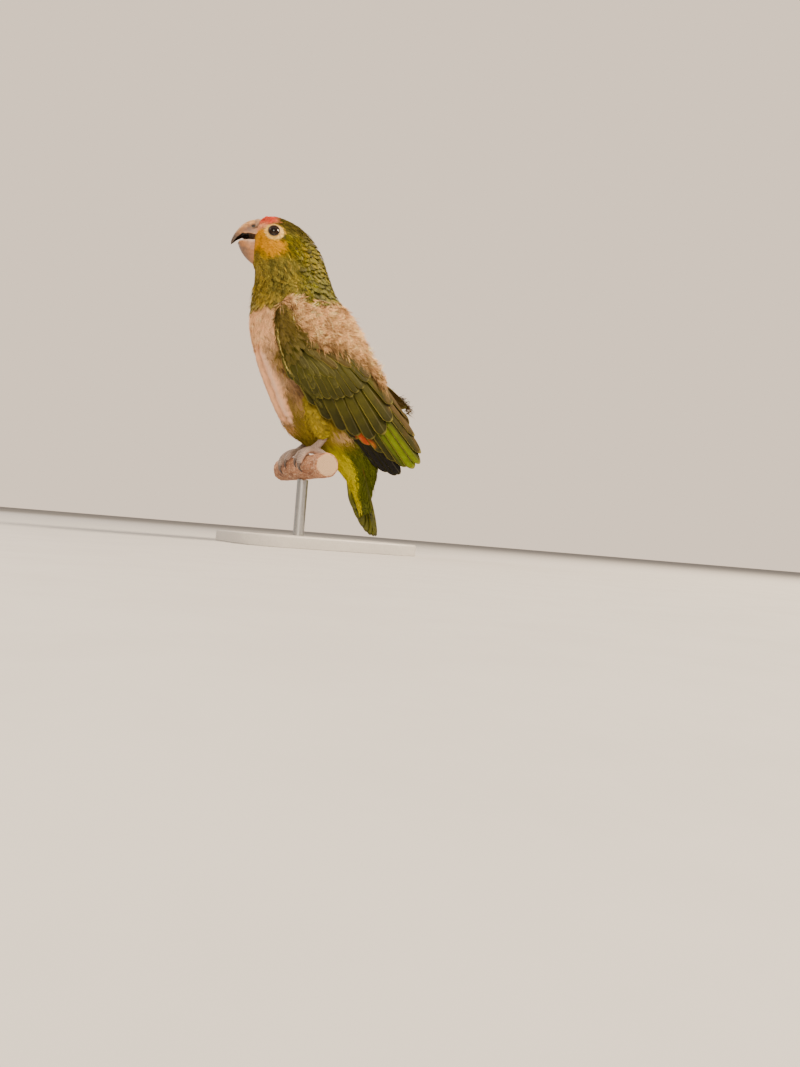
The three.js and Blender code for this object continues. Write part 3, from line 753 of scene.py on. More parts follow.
@dataclass(frozen=True)
class Eye:
    """Where the left eye lies on the unturned head, and its sizes."""

    place: tuple[float, float, float] = (19.9, -49.0, 270.0)
    facing: tuple[float, float, float] = (0.955, -0.14, 0.26)
    sunk: float = 4.8
    radius: float = 6.9
    ring_middle: tuple[float, float] = (-49.3, 269.7)
    ring_size: tuple[float, float] = (8.3, 7.4)

    @property
    def way(self) -> Array:
        """The line of sight."""
        return unit(np.array(self.facing))

    @property
    def middle(self) -> Array:
        """The middle of the eyeball."""
        return np.array(self.place) - self.sunk * self.way

    def off_axis(self, points: Array) -> Array:
        """How far points of the unturned left side lie from the line of sight."""
        d = points - np.array(self.place)
        return np.linalg.norm(d - (d @ self.way)[..., None] * self.way, axis=-1)

    def ring(self, points: Array) -> Array:
        """The distance from the eye as a share of the bare ring's size, on either side of the head.

        Args:
            points: Places in millimetres.

        Returns:
            1 at the ring's edge, more outside, and 9 near the middle plane.
        """
        y, z = points[..., 1] - self.ring_middle[0], points[..., 2] - self.ring_middle[1]
        share = np.hypot(y / self.ring_size[0], z / self.ring_size[1])
        return np.where(np.abs(points[..., 0]) > 8, share, 9.0)


EYE = Eye()


class Markings:
    """Where each colour of the plumage lies; skin and coat read the same rules."""

    @staticmethod
    def head(still: Array) -> Array:
        """The colour of the head and neck at points before the head's turn.

        Args:
            still: Points before the head's turn.

        Returns:
            Red, green and blue at each point.
        """
        _, y, z = np.moveaxis(still, -1, 0)
        grain = ripple(still, 7.0, 5)
        below = z < 271
        throat = 0.9 * smooth(-y + 0.12 * (236 - z), 52, 61) * (1 - smooth(z, 246, 252))
        ear = smooth(z, 246, 254) * (1 - smooth(z, 266, 272)) * smooth(y, -48, -40)
        cheek = np.hypot((y + 53.6 + 1.6 * grain) / 12.6, (z - 259.0 + 1.4 * grain) / 9.6)
        gape = smooth(z + 0.6 * grain, 256, 259) * (1 - smooth(y, -56.5, -53.5)) * below
        line = z - (268.2 + 0.66 * (y + 63.5))
        red = smooth(line + 0.8 * grain, -0.6, 1.8) * smooth(-48.0 - y + 1.2 * grain, -1.0, 2.6)
        ring = 0.8 * (1 - smooth(EYE.ring(still) + 0.03 * grain, 0.98, 1.12))
        return painted(
            Hue.NECK, y.shape, (Hue.NAPE, smooth(y, -42, -22)), (Hue.THROAT, throat),
            (Hue.CROWN, smooth(z + 0.25 * y, 261, 268)), (Hue.EAR, ear),
            (Hue.CHEEK_EDGE, (1 - smooth(cheek, 0.90, 1.22)) * below),
            (Hue.CHEEK, (1 - smooth(cheek, 0.72, 0.98)) * below), (Hue.CHEEK, gape),
            (Hue.LORES, red), (Hue.FOREHEAD, red * smooth(z + 0.4 * grain, 273.5, 279.0)),
            (Hue.EYE_RING.rgb * [0.85, 0.85, 0.45], ring))

    @staticmethod
    def turn_from_front(q: Array) -> Array:
        """Degrees round the body from the middle of the breast, on either side."""
        return np.abs((np.degrees(q) + 90 + 180) % 360 - 180)

    @classmethod
    def keel(cls, p: Array, q: Array) -> Array:
        """1 on the bare strip over the keel, 0 off it.

        Args:
            p: Places along the form.
            q: Places across it.

        Returns:
            The share at each place.
        """
        still = FLESH.still(p, q)
        grain = ripple(still, 7.0, 19) + 0.9 * ripple(still, 2.6, 23)
        wide = 30.0 - 13.0 * smooth(p, 0.34, 0.47) - 10.0 * (1 - smooth(p, 0.26, 0.32)) + 2.2 * grain
        high = p + 0.009 * grain
        long = smooth(high, 0.258, 0.305) * (1 - smooth(high, 0.415, 0.47))
        return long * (1 - smooth(cls.turn_from_front(q), wide - 6, wide + 4))

    @classmethod
    def body(cls, p: Array, q: Array) -> Array:
        """The colour of the coat anywhere on the body's form.

        Args:
            p: Places along the form.
            q: Places across it.

        Returns:
            Red, green and blue at each place.
        """
        still = FLESH.still(p, q)
        turn = cls.turn_from_front(q)
        grain = ripple(still, 11.0, 8)
        front = 1 - smooth(turn, 100, 120)
        patch = np.hypot((p - 0.412) / 0.03, (turn - 40) / 12)
        vent = np.hypot((p - 0.225) / 0.025, (turn - 80) / 26)
        side = 14 + 40 * smooth(p, 0.0, 0.19) + 3 * grain
        low = 1 - smooth(p + 0.01 * grain, 0.17, 0.215)
        flank = np.hypot((p - 0.338) / 0.036, (turn - 54) / 20)
        return painted(
            Hue.BELLY, p.shape,
            (Hue.BELLY_YELLOW, (1 - smooth(p + 0.012 * grain, 0.26, 0.31)) * (1 - smooth(turn, 80, 120))),
            (Hue.RUMP, smooth(turn, 95, 125)),
            (Hue.CHEST_LOW, smooth(p + 0.012 * grain, 0.325, 0.365) * front),
            (Hue.CHEST, smooth(p + 0.01 * grain, 0.42, 0.47) * front),
            (Hue.BELLY.rgb * 1.3, 0.62 * (1 - smooth(patch + 0.45 * ripple(still, 5.0, 18), 0.5, 1.1))),
            (Hue.DOWN, smooth(p, 0.37, 0.40) * smooth(turn, 80, 110)),
            (Hue.KEEL, cls.keel(p, q)),
            (Hue.VENT, 0.8 * (1 - smooth(vent + 0.2 * grain, 0.5, 1.1))),
            (Hue.RUMP, low),
            (Hue.UNDER_TAIL, low * (1 - smooth(turn - side, -4, 7))),
            (Hue.TAN, 0.85 * (1 - smooth(flank + 0.3 * grain, 0.6, 1.2))),
            (cls.head(still), smooth(p + 0.006 * grain, 0.540, 0.556)))


# ---------------------------------------------------------------- feathers


@dataclass(frozen=True)
class Quill:
    """The build of one kind of feather.

    Attributes:
        rows: Points along it.
        columns: Points across it, an odd number.
        root: Its width at the root as a share of the full width.
        tip: The length of the tip's rounding, in half widths.
        sink: How far its root lies under the form.
        rise: How far its tip stands off the form.
        camber: How far its edges bend down.
        fray: How unevenly its tip ends, as a share of its length.
        curl: How far the last part of its tip bends away from the form.
        thick: The thickness at the shaft; 0 makes a single sheet.
        shaft: How far the shaft stands out.
    """

    rows: int = 5
    columns: int = 5
    root: float = 0.5
    tip: float = 1.3
    sink: float = 0.8
    rise: float = 1.0
    camber: float = 0.4
    fray: float = 0.08
    curl: float = 0.0
    thick: float = 0.0
    shaft: float = 0.0

    def shares(self) -> Array:
        """The rows' places from root to tip, closer together towards the tip of a long feather."""
        even = np.linspace(0, 1, self.rows)
        return even**0.9 if self.rows < 8 else 1 - (1 - even) ** 1.7

    def places(self) -> Array:
        """The columns' places from -1 to 1, with a narrow shaft in the middle where it stands out.

        Returns:
            The columns' places.
        """
        c = np.linspace(-1, 1, self.columns)
        if self.shaft:
            c = np.sign(c) * np.abs(c) ** 1.3
            middle = self.columns // 2
            c[[middle - 1, middle + 1]] = [-0.09, 0.09]
        return c

    def outline(self, v: Array, slim: Array) -> Array:
        """The half width along feathers as a share: it widens from the root and ends in a half ellipse.

        Args:
            v: The rows' places from root to tip.
            slim: Each feather's half width as a share of its length.

        Returns:
            One row of shares per feather.
        """
        start = np.clip(1 - self.tip * slim, 0.2, 0.95)[:, None]
        past = np.clip((v[None] - start) / (1 - start), 0, 1)
        widening = self.root + (1 - self.root) * smooth(v, 0.0, 0.45)
        return widening[None] * np.sqrt(np.clip(1 - past**2 * 0.985, 0, 1))


def bristle(count: int, seed: int) -> np.random.Generator:
    """A seeded source of the small differences between feathers."""
    return np.random.default_rng([seed, count])


Tone = Array | Callable[[Array, Array, Array], Array]
Depth = Array | float | Callable[[Array, Array], Array]


def vanes(form: Form, p: Array, q: Array, way: Array, length: Array, width: Array, quill: Quill, tint: Tone,
          rim: Array, seed: int, depth: Depth = 0.0, tilt: Array | float = 0.0, dive: Array | float = 0.0) -> Mesh:
    """Feathers that grow from a form and follow it.

    A point lies along times length down the feather's way and across times half the width beside it, measured
    on the form by its own steps, and is lifted by sink, rise, camber, tilt and curl.

    Args:
        form: The surface that they grow on.
        p: The roots' places along the form.
        q: The roots' places across it.
        way: The direction of each feather in space.
        length: Their lengths.
        width: Their full widths.
        quill: Their build.
        tint: Their colours, one row each, or a rule that gives them from the places p and q and the share of length.
        rim: The colours of their edges, one row each.
        seed: The draw of their small differences.
        depth: How far they lie under the form, or a rule that gives it at the places p and q.
        tilt: How far they lie deeper for each millimetre across.
        dive: How much deeper their roots lie than their blades.

    Returns:
        All of them as one mesh.
    """
    count = len(p)
    rng = bristle(count, seed)
    v, c = quill.shares(), quill.places()
    share = v[None, :, None]
    normal, way, beside = form.laid(p, q, way)
    wide = quill.outline(v, 0.5 * width / length)[:, :, None]
    ragged = 1 + quill.fray * rng.uniform(-1, 0.35, (count, 1, quill.columns)) * share**3
    along = length[:, None, None] * share * ragged * (1 - 0.05 * (c * wide) ** 2 * share**2)
    across = 0.5 * width[:, None, None] * wide * c
    ahead, aside = form.steps(p, q, way), form.steps(p, q, beside)
    grid_p, grid_q = (root[:, None, None] + ahead[k][:, None, None] * along + aside[k][:, None, None] * across
                      for k, root in enumerate((p, q)))
    under = depth(grid_p, grid_q) if callable(depth) else np.reshape(depth, (-1, 1, 1))
    lift = (-quill.sink + (quill.sink + quill.rise) * share**1.2 + quill.curl * smooth(share, 0.55, 1.0) ** 1.5
            - quill.camber * c**2 * wide - under - np.reshape(tilt, (-1, 1, 1)) * across
            - np.reshape(dive, (-1, 1, 1)) * (1 - share) ** 3) * np.ones_like(grid_p)
    spine = bell(c, 0, 0.05) * quill.shaft * (1 - 0.7 * share)
    points = form.at(grid_p, grid_q, lift + spine).reshape(-1, 3)
    faces = copied(grid_faces(quill.rows, quill.columns), count, quill.rows * quill.columns)
    a, b, _, d = points[faces[0]]
    if np.cross(b - a, d - a) @ normal[0] < 0:
        faces = turned_faces(faces)
    vane = np.stack([np.broadcast_to(0.5 + 0.5 * c, grid_p.shape), np.broadcast_to(share, grid_p.shape)], -1)
    bake = form.unwrap(p, q)[:, None, None, :] + PATCH * (vane - 0.5)

    def spread(colour: Tone) -> Array:
        """Gives every point its feather's colour, or the colour of its own place."""
        made = colour(grid_p, grid_q, share) if callable(colour) else colour[:, None, None, :]
        return np.broadcast_to(made, grid_p.shape + (3,)).reshape(-1, 3).copy()

    mesh = Mesh(points, faces, vane.reshape(-1, 2), bake.reshape(-1, 2), spread(tint), spread(rim))
    if not quill.thick:
        return mesh
    body = quill.thick * (1 - c**2) * (1 - share**6)
    lower = replace(mesh, points=form.at(grid_p, grid_q, lift - body).reshape(-1, 3), faces=turned_faces(mesh.faces))
    return sealed(Mesh.joined([mesh, lower]), count, quill.rows, quill.columns)


def copied(faces: Array, count: int, size: int) -> Array:
    """The faces of many like grids of size points, one after another."""
    return (faces[None] + np.arange(count)[:, None, None] * size).reshape(-1, 4)


def sealed(mesh: Mesh, count: int, rows: int, columns: int) -> Mesh:
    """Joins the upper and lower sheets of feathers along their shared edges, by naming one point for both.

    Args:
        mesh: The upper sheets of all the feathers, then the lower ones.
        count: How many feathers there are.
        rows: Points along a feather.
        columns: Points across it.

    Returns:
        The mesh, with one point for both sheets at an edge.
    """
    half = count * rows * columns
    local = np.arange(rows * columns).reshape(rows, columns)
    edge = np.unique(np.concatenate([local[0], local[-1], local[:, 0], local[:, -1]]))
    ends = (edge[None] + np.arange(count)[:, None] * rows * columns).ravel()
    points = mesh.points.copy()
    points[ends + half] = points[ends]
    renamed = np.arange(len(points))
    renamed[ends + half] = ends
    return replace(mesh, points=points, faces=renamed[mesh.faces])


def rows_on(form: Form, columns: int, spacing: Callable[[Array], Array] | float, ends: tuple[float, float],
            rng: np.random.Generator, span: tuple[float, float] = (-np.pi, np.pi), wobble: float = 0.22,
            samples: int = 300) -> tuple[Array, Array]:
    """Roots in a brick pattern: even steps of arc length along each column, every other column half a step on.

    Args:
        form: The surface.
        columns: How many columns lie side by side.
        spacing: The step between rows, or a rule that gives it at p.
        ends: The first and last p.
        rng: The source of the wobble.
        span: The first and last q; a full turn closes.
        wobble: How far roots stray, as a share of the step.
        samples: Places at which a column's length is measured.

    Returns:
        The roots' p and q.
    """
    fine = np.linspace(*ends, samples)
    middle = 0.5 * (fine[1:] + fine[:-1])
    gaps = spacing(middle) if callable(spacing) else spacing
    closed = abs(span[1] - span[0] - 2 * np.pi) < 1e-6
    made_p, made_q = [], []
    for k, q in enumerate(np.linspace(*span, columns, endpoint=not closed)):
        step = np.linalg.norm(np.diff(form.at(fine, np.full(samples, q)), axis=0), axis=1)
        run = np.concatenate([[0], np.cumsum(step / gaps)])
        places = np.arange(0.25 + 0.5 * (k % 2), run[-1])
        places = places + rng.uniform(-wobble, wobble, len(places))
        made_p.append(np.interp(places, run, fine))
        made_q.append(q + (span[1] - span[0]) / columns * rng.uniform(-wobble, wobble, len(places)))
    return np.concatenate(made_p), np.concatenate(made_q)


def varied(tint: Array, rng: np.random.Generator, amount: float) -> Array:
    """Gives each feather its own slightly lighter or darker shade."""
    return tint * (1 + amount * rng.normal(size=(len(tint), 1))).clip(0.5, 1.6)


@dataclass(frozen=True)
class Fluff:
    """The build of a tuft of down.

    Attributes:
        strands: Strands in a tuft.
        length: The usual length of a strand.
        width: Its width at the root.
        spread: How far strands stray from the lie, as a share.
        stand: How steeply they rise from the skin, as a share.
        curl: How far they bend back towards the skin and sideways.
        clump: How far a whole tuft strays from the lie, as a share.
    """

    strands: int
    length: float
    width: float
    spread: float
    stand: float
    curl: float
    clump: float = 0.0


def down(form: Form, p: Array, q: Array, way: Array, fluff: Fluff, tip: Array, root: Array, seed: int,
         depth: Array | float = 0.5, scale: Array | float = 1.0) -> Mesh:
    """Tufts of curved, tapering strands.

    A strand leaves its root along a mix of the lie, the normal and a random turn, and bends by the square of the
    way along it. It is a ribbon of four pairs of points.

    Args:
        form: The surface that the tufts grow on.
        p: The tufts' places along the form.
        q: Their places across it.
        way: The lie at each tuft.
        fluff: The build of a tuft.
        tip: The colour at the strands' tips, a row for each tuft.
        root: The colour at their roots, darker than the tips, as painted shade deep in the tuft.
        seed: The random draw.
        depth: How far the roots lie under the form.
        scale: The length of each tuft's strands against the usual.

    Returns:
        All of them as one mesh.
    """
    count = len(p)
    rng = bristle(count, seed)
    normal, way, beside = (axis[:, None] for axis in form.laid(p, q, way))
    start = form.at(p, q, -depth * np.ones(count))
    shape, tuft = (count, fluff.strands, 1), (count, 1, 1)
    side = rng.normal(0, fluff.spread, shape) + rng.normal(0, fluff.clump, tuft)
    rise = fluff.stand * rng.uniform(0.35, 1.5, shape) * (1 + fluff.clump * rng.uniform(-1, 1, tuft))
    aim = unit(way + side * beside + rise * normal)
    bend = (rng.normal(0, 1, shape) * beside - rng.uniform(0.0, 1.0, shape) * normal) * fluff.curl
    length = fluff.length * rng.uniform(0.55, 1.25, shape) * np.reshape(scale, (-1, 1, 1))
    spot = start[:, None] + rng.uniform(-0.6, 0.6, shape) * beside + rng.uniform(-0.6, 0.6, shape) * way
    v = STRAND[0][:, None]
    spine = spot[:, :, None] + length[:, :, None] * (aim[:, :, None] * v + 0.5 * bend[:, :, None] * v**2)
    flat = unit(np.cross(aim, normal + 0.6 * rng.normal(size=aim.shape)))
    half = 0.5 * fluff.width * STRAND[1][:, None]
    points = np.stack([spine - flat[:, :, None] * half, spine + flat[:, :, None] * half], 3).reshape(-1, 3)
    pairs = len(v)
    share = np.broadcast_to(v[:, None], (count, fluff.strands, pairs, 2, 1))
    tone = 1 + (0.10 + 0.16 * fluff.clump) * rng.normal(size=(count, 1, 1, 1, 1))
    tone = tone + 0.09 * rng.normal(size=(count, fluff.strands, 1, 1, 1))
    # Each strand darkens from tip to root: painted shade deep in the tuft.
    tint = (root[:, None, None, None] * (1 - share**0.7) + tip[:, None, None, None] * share**0.7) * tone
    tint = np.clip(tint, 0, 1).reshape(-1, 3)
    vane = np.concatenate([np.broadcast_to(np.array([[0.0], [1.0]]), share.shape), share], -1)
    bake = form.unwrap(p, q)[:, None, None, None, :] + PATCH * (vane - 0.5)
    faces = copied(grid_faces(pairs, 2), count * fluff.strands, 2 * pairs)
    return Mesh(points, faces, vane.reshape(-1, 2), bake.reshape(-1, 2), tint, tint)


# ---------------------------------------------------------------- finishes


class Wires:
    """Adds and joins the nodes of one shader tree."""

    def __init__(self, tree: Tree) -> None:
        """Starts on an empty tree."""
        self.tree = tree
        tree.nodes.clear()

    def node(self, kind: str, **settings: object) -> Node:
        """Adds a node and sets its options.

        Args:
            kind: Blender's name for the type of node.
            settings: Its options.

        Returns:
            The node.
        """
        made = self.tree.nodes.new(kind)
        for name, value in settings.items():
            setattr(made, name, value)
        return made

    def put(self, socket: Socket, value: object) -> None:
        """Links a socket to another one, or sets its own value.

        Args:
            socket: The input.
            value: An output to link, or a plain value.
        """
        if isinstance(value, Socket):
            self.tree.links.new(value, socket)
        else:
            socket.default_value = value

    def maths(self, operation: str, a: object, b: object = 0.0, clamp: bool = False) -> Socket:
        """The result of a sum on one or two values.

        Args:
            operation: Blender's name for the sum.
            a: The first value.
            b: The second value.
            clamp: Whether the result is kept from 0 to 1.

        Returns:
            The result.
        """
        made = self.node("ShaderNodeMath", operation=operation, use_clamp=clamp)
        self.put(made.inputs[0], a)
        self.put(made.inputs[1], b)
        return made.outputs[0]

    def plus(self, a: object, b: object, clamp: bool = False) -> Socket:
        """The sum of two values."""
        return self.maths("ADD", a, b, clamp)

    def minus(self, a: object, b: object) -> Socket:
        """The first value less the second."""
        return self.maths("SUBTRACT", a, b)

    def times(self, a: object, b: object, clamp: bool = False) -> Socket:
        """The product of two values."""
        return self.maths("MULTIPLY", a, b, clamp)

    def between(self, value: object, low: float, high: float, first: float = 0.0, last: float = 1.0) -> Socket:
        """Maps a value smoothly from low..high to first..last, level outside.

        Args:
            value: The value.
            low: Where the change begins.
            high: Where it ends.
            first: The result at low.
            last: The result at high.

        Returns:
            The mapped value.
        """
        made = self.node("ShaderNodeMapRange", interpolation_type="SMOOTHSTEP")
        for k, one in enumerate((value, low, high, first, last)):
            self.put(made.inputs[k], one)
        return made.outputs[0]

    def mix(self, share: object, a: object, b: object, how: str = "MIX") -> Socket:
        """A mix of two colours.

        Args:
            share: How much of b there is.
            a: The first colour.
            b: The second colour.
            how: Blender's name for the way of mixing.

        Returns:
            The mixed colour.
        """
        made = self.node("ShaderNodeMix", data_type="RGBA", blend_type=how)
        self.put(made.inputs[0], share)
        self.put(made.inputs[6], a)
        self.put(made.inputs[7], b)
        return made.outputs[2]

    def noise(self, scale: float, detail: float = 3.0, rough: float = 0.55, place: object = None,
              warp: float = 0.0) -> Socket:
        """Solid noise from 0 to 1 on object coordinates, with scale in waves per metre.

        Args:
            scale: Waves in a metre.
            detail: How many finer waves are added.
            rough: How strong the finer waves are.
            place: Where it is read; object coordinates if None.
            warp: How far the noise bends itself.

        Returns:
            The noise.
        """
        made = self.node("ShaderNodeTexNoise")
        self.put(made.inputs["Vector"], place if place is not None else self.here())
        self.put(made.inputs["Scale"], scale)
        self.put(made.inputs["Detail"], detail)
        self.put(made.inputs["Roughness"], rough)
        self.put(made.inputs["Distortion"], warp)
        return made.outputs["Fac"]

    def cells(self, scale: float, feature: str = "F1", place: object = None) -> Socket:
        """The distance in a pattern of cells.

        Args:
            scale: Cells in a metre.
            feature: Blender's name for the distance that is given.
            place: Where it is read; object coordinates if None.

        Returns:
            The distance.
        """
        made = self.node("ShaderNodeTexVoronoi", feature=feature)
        self.put(made.inputs["Vector"], place if place is not None else self.here())
        self.put(made.inputs["Scale"], scale)
        return made.outputs["Distance"]

    def here(self) -> Socket:
        """The place in object coordinates."""
        return self.node("ShaderNodeTexCoord").outputs["Object"]

    def stretched(self, factors: tuple[float, float, float]) -> Socket:
        """Object coordinates scaled along each axis.

        Args:
            factors: The scale along X, Y and Z.

        Returns:
            The scaled coordinates.
        """
        made = self.node("ShaderNodeMapping")
        self.put(made.inputs["Vector"], self.here())
        self.put(made.inputs["Scale"], factors)
        return made.outputs[0]

    def attribute(self, name: str) -> Socket:
        """A colour that the mesh carries."""
        return self.node("ShaderNodeAttribute", attribute_name=name).outputs["Color"]


def rgba(colour: Sequence[float]) -> tuple[float, float, float, float]:
    """A colour with full alpha."""
    return (*(float(c) for c in colour[:3]), 1.0)


class Effects:
    """Shader groups that several finishes share, each built once."""

    @staticmethod
    def _new(name: str, inputs: Sequence[tuple[str, str, object]], outputs: Sequence[tuple[str, str]]
             ) -> tuple[Tree, Wires, Node, Node]:
        """An empty group with its named sockets, and its two end nodes.

        Args:
            name: The group's name.
            inputs: The name, type and usual value of each input.
            outputs: The name and type of each output.

        Returns:
            The group, its wires, its input node and its output node.
        """
        tree = bpy.data.node_groups.new(name, "ShaderNodeTree")
        for label, kind, value in inputs:
            socket = tree.interface.new_socket(name=label, in_out="INPUT", socket_type=kind)
            socket.default_value = value
        for label, kind in outputs:
            tree.interface.new_socket(name=label, in_out="OUTPUT", socket_type=kind)
        wires = Wires(tree)
        return tree, wires, wires.node("NodeGroupInput"), wires.node("NodeGroupOutput")

    @classmethod
    @cache
    def barbs(cls) -> Tree:
        """A feather's vane: fine slanting barbs, a paler shaft, an edge of the rim colour and a soft root.

        Returns:
            The group.
        """
        tree, w, first, last = cls._new("barbs", [
            ("Rim width", "NodeSocketFloat", 0.12), ("Barbs", "NodeSocketFloat", 90.0),
            ("Contrast", "NodeSocketFloat", 0.16), ("Shaft", "NodeSocketFloat", 0.35),
            ("Slant", "NodeSocketFloat", 0.30),
        ], [("Color", "NodeSocketColor"), ("Height", "NodeSocketFloat"), ("Roughness", "NodeSocketFloat")])
        split = w.node("ShaderNodeSeparateXYZ")
        w.put(split.inputs[0], w.node("ShaderNodeUVMap", uv_map="Vane").outputs[0])
        across = w.maths("ABSOLUTE", w.times(w.minus(split.outputs[0], 0.5), 2.0))
        along = split.outputs[1]
        drift = w.noise(420.0, 2.0)
        slanted = w.plus(w.minus(along, w.times(across, first.outputs["Slant"])), w.times(drift, 0.03))
        wave = w.maths("SINE", w.times(slanted, w.times(first.outputs["Barbs"], 6.2832)))
        streak = w.noise(2600.0, 2.0, 0.6)
        barb = w.plus(w.times(wave, 0.5), w.minus(streak, 0.5))
        shade = w.plus(1.0, w.times(barb, first.outputs["Contrast"]))
        patchy = w.between(w.noise(140.0, 3.0), 0.3, 0.7, 0.86, 1.12)
        total = w.times(shade, patchy)
        grey = w.node("ShaderNodeCombineColor")
        for k in range(3):
            w.put(grey.inputs[k], total)
        base = w.mix(1.0, w.attribute("Tint"), grey.outputs[0], "MULTIPLY")
        rim_low = w.minus(1.0, first.outputs["Rim width"])
        steep = w.maths("DIVIDE", 1.5, first.outputs["Rim width"])
        rim = w.times(w.minus(across, rim_low), steep, True)
        tip = w.times(w.between(along, 0.965, 0.995), 0.6)
        rim = w.times(w.maths("MAXIMUM", rim, tip), w.between(along, 0.25, 0.5))
        coloured = w.mix(rim, base, w.attribute("Rim"))
        shaft = w.times(w.between(across, 0.10, 0.0), first.outputs["Shaft"])
        coloured = w.mix(shaft, coloured, w.mix(0.5, coloured, rgba((0.55, 0.5, 0.3))))
        w.put(last.inputs["Color"], coloured)
        w.put(last.inputs["Height"], w.plus(w.times(barb, 0.6), w.times(shaft, 1.5)))
        w.put(last.inputs["Roughness"], w.between(streak, 0.2, 0.8, 0.48, 0.68))
        return tree

    @classmethod
    @cache
    def mottle(cls) -> Tree:
        """Colour that varies in soft blotches and fine specks, with a height for both.

        Returns:
            The group.
        """
        tree, w, first, last = cls._new("mottle", [
            ("Color", "NodeSocketColor", (0.5, 0.5, 0.5, 1)), ("Dark", "NodeSocketColor", (0.2, 0.2, 0.2, 1)),
            ("Scale", "NodeSocketFloat", 200.0), ("Blotches", "NodeSocketFloat", 0.4),
            ("Specks", "NodeSocketFloat", 0.3),
        ], [("Color", "NodeSocketColor"), ("Height", "NodeSocketFloat"), ("Roughness", "NodeSocketFloat")])
        scale = first.outputs["Scale"]
        blotch = w.between(w.noise(scale, 4.0, 0.6, warp=0.4), 0.42, 0.72)
        speck = w.between(w.noise(w.times(scale, 6.0), 2.0, 0.7), 0.5, 0.8)
        share = w.plus(w.times(blotch, first.outputs["Blotches"]), w.times(speck, first.outputs["Specks"]), True)
        w.put(last.inputs["Color"], w.mix(share, first.outputs["Color"], first.outputs["Dark"]))
        w.put(last.inputs["Height"], w.minus(1.0, share))
        w.put(last.inputs["Roughness"], w.between(blotch, 0.0, 1.0, 0.42, 0.62))
        return tree


@dataclass(frozen=True)
class Finish:
    """One material: its name, its steady shader values and the strength of its bump."""

    name: str
    roughness: float = 0.6
    bump: float = 0.3
    depth: float = 0.0002
    steady: tuple[tuple[str, float], ...] = ()

    def made(self) -> bpy.types.Material:
        """Builds the material.

        Returns:
            The material.
        """
        made = bpy.data.materials.new(self.name)
        made.use_nodes = True
        w = Wires(made.node_tree)
        shader = w.node("ShaderNodeBsdfPrincipled")
        w.put(w.node("ShaderNodeOutputMaterial").inputs[0], shader.outputs[0])
        shader.inputs["Roughness"].default_value = self.roughness
        for label, value in self.steady:
            shader.inputs[label].default_value = value
        bump = w.node("ShaderNodeBump")
        for label, value in (("Strength", self.bump), ("Distance", self.depth), ("Height", self.wire(w, shader))):
            w.put(bump.inputs[label], value)
        w.put(shader.inputs["Normal"], bump.outputs[0])
        return made

    def wire(self, w: Wires, shader: Node) -> Socket:
        """Adds this finish's own nodes.

        Args:
            w: The material's nodes.
            shader: The shader that they feed.

        Returns:
            The height for the bump.
        """
        raise NotImplementedError

    @staticmethod
    def grouped(w: Wires, group: Tree, **values: object) -> Node:
        """Places a shared group with its own values, named with _ for a space.

        Args:
            w: The material's nodes.
            group: The shared group.
            values: The values of its inputs.

        Returns:
            The placed node.
        """
        made = w.node("ShaderNodeGroup", node_tree=group)
        for label, value in values.items():
            w.put(made.inputs[label.replace("_", " ")], value)
        return made


@dataclass(frozen=True)
class VaneFinish(Finish):
    """Feathers with barbs, shaft and edge."""

    rim: float = 0.12
    barbs: float = 60.0
    contrast: float = 0.16
    shaft: float = 0.35

    def wire(self, w: Wires, shader: Node) -> Socket:
        """Feeds colour and roughness from the barbs.

        Args:
            w: The material's nodes.
            shader: The shader that they feed.

        Returns:
            The height for the bump.
        """
        group = self.grouped(w, Effects.barbs(), Rim_width=self.rim, Barbs=self.barbs, Contrast=self.contrast,
                             Shaft=self.shaft)
        w.put(shader.inputs["Base Color"], group.outputs["Color"])
        w.put(shader.inputs["Roughness"], group.outputs["Roughness"])
        return group.outputs["Height"]


@dataclass(frozen=True)
class TintFinish(Finish):
    """A surface that carries its own colour, mottled darker."""

    scale: float = 200.0
    blotches: float = 0.35
    specks: float = 0.3
    darker: float = 0.5
    cells: float = 0.0

    def wire(self, w: Wires, shader: Node) -> Socket:
        """Feeds the carried colour through the mottle, with small cells in the height where it has them.

        Args:
            w: The material's nodes.
            shader: The shader that they feed.

        Returns:
            The height for the bump.
        """
        tint = w.attribute("Tint")
        dark = w.mix(1.0, tint, rgba((self.darker,) * 3), "MULTIPLY")
        group = self.grouped(w, Effects.mottle(), Color=tint, Dark=dark, Scale=self.scale, Blotches=self.blotches,
                             Specks=self.specks)
        w.put(shader.inputs["Base Color"], group.outputs["Color"])
        height = group.outputs["Height"]
        if self.cells:
            groove = w.between(w.cells(self.cells, "DISTANCE_TO_EDGE"), 0.0, 0.12)
            height = w.plus(w.times(height, 0.4), groove)
        return height


@dataclass(frozen=True)
class GrainFinish(Finish):
    """A plain made surface with fine stretched grain, such as brushed steel or paint."""

    colour: Colour = (0.7, 0.7, 0.7)
    dark: Colour = (0.6, 0.6, 0.6)
    stretch: tuple[float, float, float] = (1.0, 1.0, 1.0)
    scale: float = 300.0

    def wire(self, w: Wires, shader: Node) -> Socket:
        """Feeds a colour that varies a little with the grain, and a roughness that follows it.

        Args:
            w: The material's nodes.
            shader: The shader that they feed.

        Returns:
            The height for the bump.
        """
        grain = w.noise(self.scale, 4.0, 0.6, w.stretched(self.stretch))
        cloud = w.noise(18.0, 3.0)
        share = w.plus(w.times(grain, 0.6), w.times(cloud, 0.4))
        w.put(shader.inputs["Base Color"], w.mix(w.between(share, 0.35, 0.65), rgba(self.colour), rgba(self.dark)))
        w.put(shader.inputs["Roughness"], w.between(share, 0.3, 0.7, self.roughness - 0.06, self.roughness + 0.08))
        return grain


